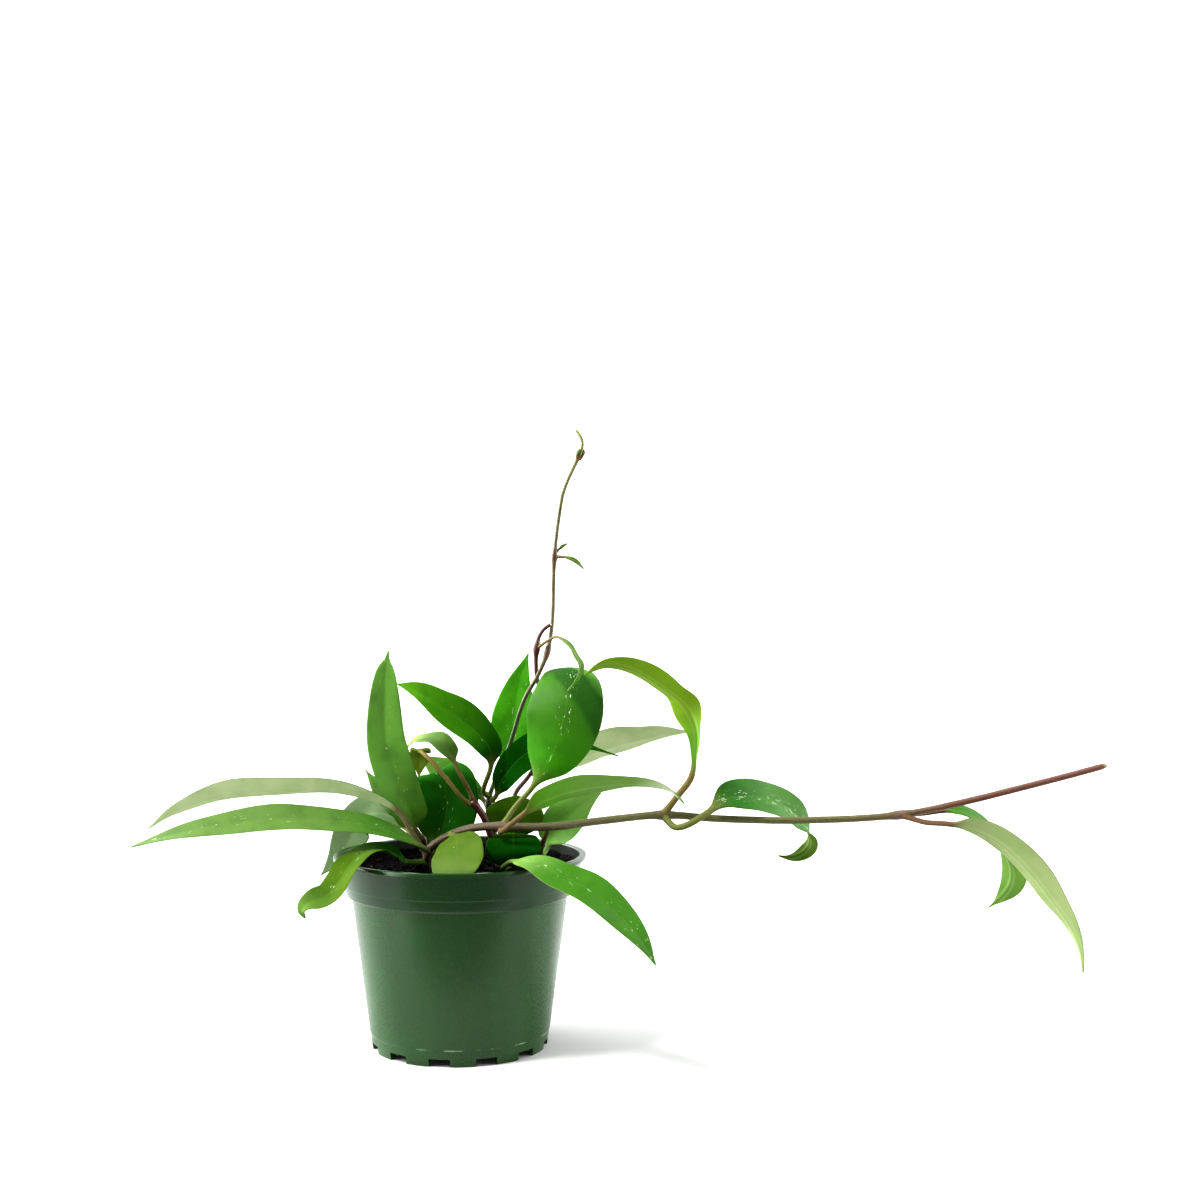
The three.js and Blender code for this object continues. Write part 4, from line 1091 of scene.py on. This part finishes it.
def leaf_finish(name, upper, under, stalk, flecks, gloss, shadow_bar=None):
    """flecks is how much of the upper side is flecked, 0 to 1, gloss how smooth it is, and the last one
    where a
    painted shadow crosses it as a dark bar: its place along the blade, its slope and its half width."""
    skin = Finish(name)
    across, along, seed = skin.read("blade")
    place, blade, side = skin.read("form")
    stalk_part = skin.read("stalk")[0]
    off_rib = skin.maths("ABSOLUTE", across)
    near_edge = skin.maths("ABSOLUTE", place)
    is_upper = skin.share(side, -0.3, 0.3)
    sheet = skin.place(across, along, seed)
    clouds = skin.patches(sheet, SKIN_PATCHES["cloud"], detail=3)
    fine = skin.patches(sheet, SKIN_PATCHES["fine"], detail=3)

    top = three_greens(skin, blade, upper)
    top = skin.mix(skin.share(clouds, 0.4, 0.75), top, skin.mix(0.25, top, GREENS["deep"]))
    # painted shadow: a dark bar across the blade
    if shadow_bar:
        centre, slope, half_width = shadow_bar
        from_shadow_bar = skin.maths("SUBTRACT", skin.line(place, slope, centre), blade)
        from_shadow_bar = skin.line(clouds, 0.1, skin.maths("SUBTRACT", from_shadow_bar, 0.05))
        in_shadow_bar = skin.share(skin.maths("ABSOLUTE", from_shadow_bar), half_width * 1.3, half_width * 0.7)
        top = skin.mix(skin.times(in_shadow_bar, SKIN_SHOWS["shadow_bar"]), top, GREENS["deep"])
    rib = skin.times(skin.share(off_rib, 0.5, 0.1), skin.share(blade, 0.8, 0.2))
    top = skin.mix(skin.times(rib, SKIN_SHOWS["rib"]), top, GREENS["soft"])
    stretched = skin.place(skin.times(across, DASH_STRETCH[0]), skin.times(along, DASH_STRETCH[1]), seed)
    dashes = skin.times(fleck(skin, stretched, "dash", flecks), skin.share(off_rib, 4.5, 1.5))
    spots = skin.maths("MAXIMUM", dashes, fleck(skin, sheet, "dot", flecks))
    top = skin.mix(skin.times(spots, SKIN_SHOWS["flecks"]), top, SILVER)

    back = three_greens(skin, blade, under)
    back = skin.mix(skin.share(clouds, 0.3, 0.8), back, skin.mix(0.25, back, GREENS["leaf"]))
    strips = skin.times(skin.share(off_rib, 0.4, 0.9), skin.share(off_rib, 2.2, 1.2))
    back = skin.mix(skin.times(strips, SKIN_SHOWS["strips"]), back, GREENS["milk"])
    margin = skin.times(skin.share(near_edge, 0.95, 0.99), SKIN_SHOWS["edge"])
    back = skin.mix(margin, back, EDGE_BROWN)

    veins = skin.maths("SINE", skin.times(skin.maths("SUBTRACT", along, off_rib), 1.1))
    veins = skin.share(skin.line(fine, 1.2, veins), 1.2, 1.8)
    colour = skin.mix(is_upper, back, top)
    colour = skin.mix(skin.times(veins, SKIN_SHOWS["veins"]), colour, GREENS["pale"])
    freckles = skin.share(fine, 0.70, 0.76)
    colour = skin.mix(skin.times(freckles, SKIN_SHOWS["freckles"]), colour, EDGE_BROWN)
    corky = skin.mix(0.15, STALKS[stalk], CORK)
    colour = skin.mix(stalk_part, colour, skin.mix(fine, STALKS[stalk], corky))
    matt = skin.line(fine, 0.14, 0.56 - 0.3 * gloss)
    roughness = skin.line(skin.maths("SUBTRACT", 1.0, is_upper), 0.2, matt)
    skin.cover(colour, roughness, mirroring=0.5 * gloss)
    height = skin.line(clouds, 0.8, skin.line(veins, 0.15, fine))
    skin.bump(height, 0.1)
    return skin.material


grown = []


def grow_leaf(name, slot, upper, under="soft", stalk="olive", flecks=0, gloss=0, shadow_bar=None, **facts):
    """One whole leaf in place of the plain one, with its own finish."""
    grown.append(name)
    leaf = lay_leaf(name.replace("leaf_", "blade_"), seed=len(grown), **facts)
    leaf.data.materials.append(leaf_finish(name, upper, under, stalk, flecks, gloss, shadow_bar))
    settle(leaf, name)


print("finishes ready for leaves with", len(GREENS), "greens and", len(STALKS), "stalk colours")

# %% [markdown]
# ## The leaves to the left
# Two long blades reach out to the left, one shows its pale underside and the other its upper side. One leaf
# stands upright behind them with a small one at its back, one folds down over the rim behind, and a young
# one curls over it in front.

# %% Grow the left leaves
grow_leaf(
    "leaf_left_upper", "leaf_pale", upper="mid", under="milk", stalk="brown", flecks=0.3, gloss=0.2,
    spine=[
        (-14.5, -5.5, 86.5), (-17, -7, 90), (-21.5, -9, 98), (-27.5, -12, 107.5), (-42.5, -14, 113.5),
        (-57.5, -16, 116.5), (-76, -18, 117), (-93.5, -20, 116.5), (-105, -21, 114.5),
        (-116.5, -22, 111), (-126, -22, 107), (-136, -22, 100),
    ],
    faces=[(0.4, 0.4, 0.8), (0, 0.62, 0.78), (0, 0.64, 0.77), (-0.1, 0.62, 0.77)],
    petiole=4, radius=1.3, width=15, widest=0.5, fold=0.3, base_power=0.3, flare=0.04,
)
grow_leaf(
    "leaf_left_lower", "leaf_glossy", upper="mid sage sage", flecks=0.3, gloss=0.4,
    spine=[
        (-13.5, -6.5, 88), (-14.5, -13, 90), (-24, -19, 96), (-38.5, -26, 102), (-51, -31, 104.5),
        (-67.5, -35, 106), (-80, -37, 106), (-96, -39, 104.5), (-113, -41, 102), (-125, -42, 99),
        (-138, -42, 95),
    ],
    faces=[(0, -0.4, 0.9), (0, -0.52, 0.85), (0, -0.52, 0.85)],
    petiole=2, radius=1.3, width=18.5, widest=0.5, fold=0.16, base_power=0.45,
)
grow_leaf(
    "leaf_left_upright", "leaf_glossy", upper="leaf meadow meadow", flecks=0.2, gloss=0.4,
    spine=[
        (-18.5, 7.5, 92), (-21, 2.6, 96.5), (-22, -1.2, 103), (-26, -3.3, 113), (-30.5, -4.5, 127),
        (-33, -6, 138), (-33.5, -7, 154), (-33, -8, 168.5), (-31.5, -9, 178.5),
    ],
    faces=[(0.4, -0.85, 0.3), (0.1, -1, 0.1), (0.1, -1, 0.1)],
    petiole=2, radius=1.4, width=18.5, widest=0.45, fold=0.2, base_power=0.35, tip_power=0.5, point=0.06,
)
grow_leaf(
    "leaf_small_left", "leaf_pale", upper="grey grey soft", flecks=0.1, gloss=0.4,
    spine=[
        (-18.5, 9, 91.5), (-23, 11.5, 97), (-28, 9.5, 101.5), (-31.5, 8, 106.5), (-38.5, 8, 115),
        (-44.5, 8, 123.5),
    ],
    faces=[(0.2, -0.9, 0.3)],
    petiole=3, radius=1, width=9.5, widest=0.45, fold=0.2, tip_power=1.3,
)
# its slate grey-green is partly a painted sheen on the arched hump
grow_leaf(
    "leaf_behind_rim", "leaf_pale", upper="slate", under="slate", flecks=0.05, gloss=0.1,
    spine=[
        (-17, 9, 87), (-21.5, 15, 90), (-27, 21, 94.5), (-33, 25, 98.5), (-40.5, 29, 100.3),
        (-47.5, 34.5, 98.8), (-52.5, 37, 93.5), (-56, 36.5, 86.5), (-59.5, 32, 80), (-63.5, 27, 75.5),
        (-67, 22, 72.5),
    ],
    faces=[(-0.1, -0.8, 0.6), (-0.2, -0.85, 0.5), (-0.3, -0.85, 0.4), (-0.5, -0.8, 0.3)],
    petiole=3, radius=1.2, width=22, widest=0.45, fold=0.12, base_power=0.6,
)
grow_leaf(
    "leaf_over_rim_left", "leaf_young", upper="bottle olive sage", under="mid olive olive", stalk="green",
    flecks=0.3, gloss=0.05,
    spine=[
        (-15.5, -1.5, 82.5), (-19, -9, 83.5), (-23.3, -13, 84.5), (-26.7, -17.5, 88),
        (-30.5, -22, 90.3), (-34.5, -27.5, 91.8), (-38, -34, 91.8), (-41.5, -41, 90), (-44.4, -47, 86),
        (-47.6, -50.5, 80.8), (-50.8, -53, 77.2), (-55.2, -55.5, 75.4), (-59, -57, 74),
        (-61.6, -58, 71.2), (-60, -57, 67.5),
    ],
    faces=[
        (-0.2, -0.7, 0.7), (-0.25, -0.6, 0.8), (-0.3, -0.15, 0.95), (-0.45, -0.75, 0.5), (-0.6, -0.6, 0.3),
    ],
    petiole=3, radius=1.2, width=18, widest=0.5, fold=0.15, base_power=0.35, tip_power=0.9, flare=0.05,
)
print("leaves grown so far:", len(grown))

# %% [markdown]
# ## The leaves of the crown
# The crown is crowded, and its leaves shade each other, so the darkest greens are here, partly as painted
# shade. Two young leaves bend over on tan petioles, and a thin one hangs from the twining vine.

# %% Grow the crown
grow_leaf(
    "leaf_centre_left", "leaf_dark", upper="deep mid leaf", under="lime soft grey",
    spine=[
        (11.6, 10.8, 111), (10, 5.5, 113.5), (11.5, -1, 118.5), (14, -4, 125.5), (13.5, -4.5, 133.5),
        (8.5, -6, 140), (1.5, -8.5, 146.3), (-7, -11, 152.5), (-14.8, -12, 158), (-21.5, -13, 161.8),
        (-27.3, -13, 163.6),
    ],
    faces=[(0.6, -0.6, 0.5), (0.6, -0.6, 0.5), (0.4, -0.6, 0.7)],
    petiole=4, radius=1.1, width=22, widest=0.42, fold=0.2, base_power=0.7, tip_power=1.1,
)
grow_leaf(
    "leaf_centre_broad", "leaf_dark", upper="bottle", flecks=0.35, gloss=0.1,
    spine=[
        (-16.5, 10, 84), (-12.5, 6, 86), (-11.5, 5, 88), (-7.2, 6.5, 102), (-7.2, 8, 111),
        (-9.5, 11, 117.5), (-13, 15, 120.5), (-15, 18.2, 119.5), (-16, 21.5, 116.5),
    ],
    faces=[(0.1, -0.9, 0.4), (0.1, -0.95, 0.3), (0, -0.5, 0.9), (0, 0.2, 1)],
    petiole=3, radius=1.3, width=30, widest=0.42, fold=0.12, base_power=0.22, flare=0.08,
)
grow_leaf(
    "leaf_back_left", "leaf_dark", upper="bottle mid sage", under="sage", flecks=0.1, gloss=0.2,
    spine=[
        (12.5, 11, 102), (9.5, 16, 108), (-1.5, 24, 114.5), (-12, 30, 121.5), (-22, 34, 127),
    ],
    faces=[(0.3, -0.7, 0.6)],
    petiole=2, radius=1.1, width=17, widest=0.5, fold=0.15,
)
grow_leaf(
    "leaf_centre_upright", "leaf_glossy", upper="bright", under="lime", stalk="green", flecks=0.5, gloss=0.3,
    spine=[
        (15, 12, 118), (19, 17, 124), (22, 18, 133.5), (23.5, 19, 147.5), (25.5, 20, 161.5),
        (30, 20, 176.5),
    ],
    faces=[(-0.1, -1, 0.1)],
    petiole=2, radius=1, width=21, widest=0.42, fold=0.14,
)
# its darker middle green and the dark bar across it are painted shadow
grow_leaf(
    "leaf_centre_large", "leaf_glossy", upper="bright mid bright",
    flecks=0.55, gloss=0.35, crease=1.6, shadow_bar=(0.58, -0.2, 0.1),
    spine=[
        (20, -20, 101), (25.5, -17, 109), (33, -16, 117.5), (39.5, -16, 128), (45, -17, 140),
        (47.5, -17, 150), (49.2, -12, 161), (50.2, -2, 168.8), (51.5, 8, 169.8), (53, 24, 163.5),
        (55.5, 34, 151),
    ],
    faces=[(0.1, -0.95, 0.3), (0, -1, 0.1), (0, -0.6, 0.8), (0, 0.3, 1)],
    petiole=3, radius=1.2, width=34.5, widest=0.38, fold=-0.2, base_power=1.25, tip_power=1.25,
)
grow_leaf(
    "leaf_centre_right", "leaf_dark", upper="deep deep bottle",
    spine=[
        (13.6, 10.6, 109), (15.8, 5, 111.5), (19, 1, 119), (27, -2, 129), (37.5, -2, 135.5),
        (48, 2, 137), (59, 7, 133.5), (72, 12, 129),
    ],
    faces=[(-0.2, -0.8, 0.5), (-0.2, -0.85, 0.5), (0, -0.4, 0.9)],
    petiole=2, radius=1.1, width=17.5, widest=0.42, fold=0.15, base_power=1, tip_power=1.7,
)
grow_leaf(
    "leaf_low_centre", "leaf_dark", upper="bottle moss moss",
    spine=[
        (23.4, 13.7, 88), (23.8, 6.5, 92), (24, 4.5, 98), (24.5, 4.5, 104.5), (24.8, 7, 109.5),
        (24.8, 11.5, 111),
    ],
    faces=[(0, -0.95, 0.3), (0, -0.95, 0.3), (0, -0.3, 1)],
    petiole=2, radius=1.1, width=27, widest=0.45, fold=0.05, tip_power=1.5,
)
grow_leaf(
    "leaf_young_arched", "leaf_young", upper="sage sage yellow", under="sage yellow yellow", stalk="tan",
    gloss=0.3,
    spine=[
        (5.8, -2, 110.5), (4.2, -3.5, 115), (1.5, -6, 120.5), (-2, -6, 127.5), (-6, -3.5, 134),
        (-10.5, 0, 137.2), (-16.5, 5, 137.7), (-22, 10, 136.4), (-26, 13, 133),
    ],
    faces=[(0.5, -0.6, 0.6), (0.1, -0.5, 0.85), (-0.6, -0.4, 0.7)],
    petiole=4, radius=1, width=12, widest=0.35, fold=0.2,
)
grow_leaf(
    "leaf_young_hanging", "leaf_young", upper="yellow", under="yellow", stalk="tan", gloss=0.2,
    spine=[
        (4.5, -3, 108.5), (1, -8, 112.5), (-5, -10, 120.5), (-13, -9, 129.5), (-17.5, -3, 132.5),
        (-18.2, 1, 132), (-18.9, 4.5, 129), (-19.4, 6.5, 124.5), (-19.6, 7.5, 119.5),
    ],
    faces=[(0.2, -0.8, 0.6), (0, -0.95, 0.3)],
    petiole=5, radius=1, width=10, widest=0.35, fold=0.15, base_power=0.4,
)
grow_leaf(
    "leaf_young_thin", "leaf_young", upper="sage sage leaf", under="sage", stalk="tan", gloss=0.3,
    spine=[
        (34.5, 0.5, 179), (40.3, -5, 183), (44, -9, 184.5), (49, -14, 181.5), (52.5, -18, 176.5),
        (54.5, -21, 171.5), (53.5, -22.5, 166.5), (49, -22.5, 161),
    ],
    faces=[(0, -0.3, 1), (0.7, -0.4, 0.5), (0.8, -0.4, 0.2)],
    petiole=3, radius=0.6, width=4, widest=0.5, fold=0.3,
)
print("leaves grown so far:", len(grown))

# %% [markdown]
# ## The leaves in front and to the right
# Two short broad leaves bend down just inside the rim in front, and a long glossy one hangs over it to the
# right. The others point right, one in front of the runner and two behind it.

# %% Grow the front and right leaves
grow_leaf(
    "leaf_front_left", "leaf_pale", upper="olive", gloss=0.3,
    spine=[
        (-3, -13.5, 96.5), (-1.5, -18, 96.5), (0.5, -26, 96.5), (1.5, -34, 94.5), (2, -41, 91),
        (2, -46, 87), (2, -49, 82.5),
    ],
    faces=[(-0.28, -0.2, 0.93), (-0.28, -0.5, 0.8), (-0.28, -0.8, 0.5)],
    petiole=2, radius=1.3, width=24, widest=0.62, fold=-0.05, base_power=0.25, tip_power=0.3, flare=0.06,
)
# its upper side runs from olive to nearly black at the tip: painted shade from the leaves above it
grow_leaf(
    "leaf_front_middle", "leaf_dark", upper="olive deep black",
    spine=[
        (25.5, -6, 88.5), (25.5, -8.5, 94.5), (25, -14, 97), (25, -21, 95), (25.5, -26, 92),
        (26, -29, 88.5), (26.5, -30, 85),
    ],
    faces=[(0, -0.2, 1), (0, -0.8, 0.6)],
    petiole=2, radius=1.2, width=25, widest=0.58, fold=-0.05, base_power=0.35, tip_power=0.5, flare=0.08,
)
# the cream towards the tip of its underside is painted light, for light shining through the blade
grow_leaf(
    "leaf_front_right", "leaf_pale", upper="mid", under="lime soft cream", stalk="brown",
    flecks=0.2, gloss=0.2,
    spine=[
        (20, -20, 100.5), (19.5, -24.5, 99), (25, -27, 103.5), (30, -28, 107.5), (40, -30, 113.5),
        (51.5, -30, 117.3), (64, -29, 119.3), (76.5, -27, 120), (87.5, -25, 119), (95, -22, 116.5),
        (100.5, -20, 111),
    ],
    faces=[(0, 0.5, 0.85), (0, 0.58, 0.8), (0, 0.4, 0.9), (0.2, -0.5, 0.8)],
    petiole=4, radius=1.2, width=18.5, widest=0.26, fold=0.25, tip_power=0.9,
)
# the soft pale green near the base of its upper side is a painted sheen
grow_leaf(
    "leaf_over_rim_right", "leaf_glossy", upper="soft mid mid", stalk="green", flecks=0.4, gloss=0.4,
    spine=[
        (27, -4, 84.5), (24, -14, 83.5), (21, -25, 83.3), (21.5, -33, 85.2), (25, -38, 88.3),
        (30, -42, 88.8), (37.5, -47, 88.3), (47, -54, 84.5), (60, -63, 79.5), (72.5, -70, 70),
        (80.5, -75, 61.5), (86, -78, 52.5),
    ],
    faces=[(0.1, -0.3, 0.95), (0.2, -0.5, 0.85), (0.35, -0.7, 0.6)],
    petiole=5, radius=1.2, width=20, widest=0.5, fold=0.12,
)
grow_leaf(
    "leaf_side_right", "leaf_glossy", upper="meadow meadow soft", under="pale", stalk="green",
    flecks=0.2, gloss=0.4,
    spine=[
        (36.3, -6, 86), (38, 0, 86), (39.5, 4, 88.5), (43, 7, 94.5), (48.5, 10, 101), (55, 12, 106.5),
        (64, 14, 112),
    ],
    faces=[(-0.3, -0.85, 0.4)],
    petiole=3, radius=1.1, width=20, widest=0.45, fold=0.15, base_power=0.5,
)
grow_leaf(
    "leaf_back_right", "leaf_pale", upper="mid", under="milk", flecks=0.2, gloss=0.3,
    spine=[
        (31, 21, 120), (44.5, 25, 124), (56, 28, 127.5), (69, 31, 132), (82, 33, 135),
        (94.5, 34, 137.5), (106, 35, 138.5),
    ],
    faces=[(0, 0.6, 0.8)],
    petiole=2, radius=1.1, width=25, widest=0.3, fold=0.2, tip_power=0.95,
)
print("leaves grown so far:", len(grown))

# %% [markdown]
# ## The leaves on the runner
# The middle node carries a ribbon that arches back over the crown, and a leaf that folds over itself. The
# far node carries two leaves that hang down.

# %% Grow the runner's leaves
grow_leaf(
    "leaf_runner_ribbon", "leaf_pale", upper="leaf lime lime", under="lime fresh fresh", stalk="tan",
    flecks=0.3, gloss=0.4,
    spine=[
        (92, 0, 103.5), (98, -3, 112), (104.5, -4, 121), (106, -5, 131), (106.5, -6, 140),
        (104.5, -7, 148), (99.5, -9, 155.5), (92, -11, 161.5), (83, -13, 167.5), (74, -15, 171.5),
        (65, -16, 172), (56, -17, 167.5),
    ],
    faces=[(-0.6, 0.8, -0.1), (-0.65, 0.75, -0.1), (0.4, 0.45, 0.8), (0.2, 0.55, 0.8), (0, 0.55, 0.83)],
    petiole=3, radius=1.5, width=17, widest=0.6, fold=0.25,
)
grow_leaf(
    "leaf_runner_folded", "leaf_glossy", upper="bottle mid mid", under="olive", flecks=0.9, gloss=0.3,
    spine=[
        (92, 0, 103.5), (94.5, -3, 100.5), (97.5, -6, 98.5), (103.5, -8, 100.5), (109.5, -7, 104),
        (113, -5, 106), (120, 0, 110.5), (129.5, 6, 111), (139.5, 13, 109), (148.5, 20, 105),
        (155.5, 24, 99.5), (160.5, 26, 93), (162, 26, 87), (158.5, 25, 82.5), (152.5, 24, 80.5),
        (146.5, 23, 81.5),
    ],
    faces=[(0, -0.75, 0.65), (0, -0.75, 0.65), (0.2, -0.6, 0.75), (0.8, 0.5, 0.2), (0.2, 0.5, -0.85)],
    petiole=6, radius=1.5, width=21, widest=0.35, fold=0.18,
)
grow_leaf(
    "leaf_far_front", "leaf_pale", upper="mid", under="dusty", stalk="maroon", flecks=0.2, gloss=0.2,
    spine=[
        (201, 8, 102.5), (211, 1, 100), (216, -2, 100), (222, -5, 99.8), (235.4, -7.5, 96.3),
        (244.8, -9.5, 90.5), (255.5, -11.5, 79.6), (264.3, -13, 68), (271.2, -14.5, 58.2),
        (276.4, -16, 46.5), (277.7, -16, 35),
    ],
    faces=[(0.3, 0.5, 0.8), (0.5, 0.55, 0.6), (0.65, 0.55, 0.4), (0.7, 0.6, 0.2)],
    petiole=4, radius=1.2, width=18.5, widest=0.38, fold=0.28, base_power=0.5, tip_power=0.95, flare=0.06,
    point=0.08,
)
grow_leaf(
    "leaf_far_back", "leaf_pale", upper="mid", under="sage", stalk="maroon", flecks=0.2, gloss=0.2,
    spine=[
        (201, 8, 102.5), (213.5, 14, 102.5), (222, 17, 103.2), (232, 20, 102.3), (243, 22, 95.5),
        (251.5, 23, 85), (256, 23, 75.5), (255, 22, 68), (250, 21, 62), (244, 20, 57.5),
    ],
    faces=[(0.1, -0.4, 0.9), (0.3, -0.2, 0.9), (0.7, 0.6, 0.2), (0.5, 0.8, -0.2)],
    petiole=3, radius=1.2, width=18, widest=0.5, fold=0.18, base_power=0.45, tip_power=1.6, flare=0.06,
)
print("leaves grown so far:", len(grown))

# %% [markdown]
# ## The smallest leaves
# Four tiny leaves are still opening on the climbing vine. They are made like the others, from shorter rods,
# and are joined to the vine, because they have grown as one with it.

# %% Add the opening leaves and finish the vine
LEAFLET_RINGS = 16
FIRST_SEED = 50
LEAFLETS = [
    dict(spine=[(42.6, 0, 220.5), (47.5, -2, 220.4), (52.3, -3, 218.4), (56, -3, 215)],
         faces=[(0.3, -0.6, 0.75)], radius=0.6, width=3.2),
    dict(spine=[(42.8, 0, 222), (45, 0.5, 224.3), (48.4, 2, 226.7)],
         faces=[(-0.5, -0.7, 0.5)], radius=0.5, width=2),
    dict(spine=[(53.2, -4, 264), (53, -4.9, 266.5), (54.2, -5, 269)],
         faces=[(-0.8, -0.6, 0)], radius=0.5, width=1.7),
    dict(spine=[(53.8, -4, 264), (55.6, -3.4, 266.5), (56, -3.4, 269)],
         faces=[(0.8, -0.6, 0)], radius=0.5, width=1.7),
]

opening_leaf = leaf_finish("opening_leaf", "moss olive sage", "moss sage sage", "brown", 0, 0.3)
leaflets = []
for count, facts in enumerate(LEAFLETS):
    leaflet = lay_leaf(
        "leaflet", petiole=2, widest=0.4, fold=0.2, wave=(0, 1), rings=LEAFLET_RINGS,
        seed=FIRST_SEED + count, **facts,
    )
    leaflet.data.materials.append(opening_leaf)
    leaflets.append(leaflet)
pick_only(vine, *leaflets)
bpy.ops.object.join()
settle(vine, "vine_climbing")
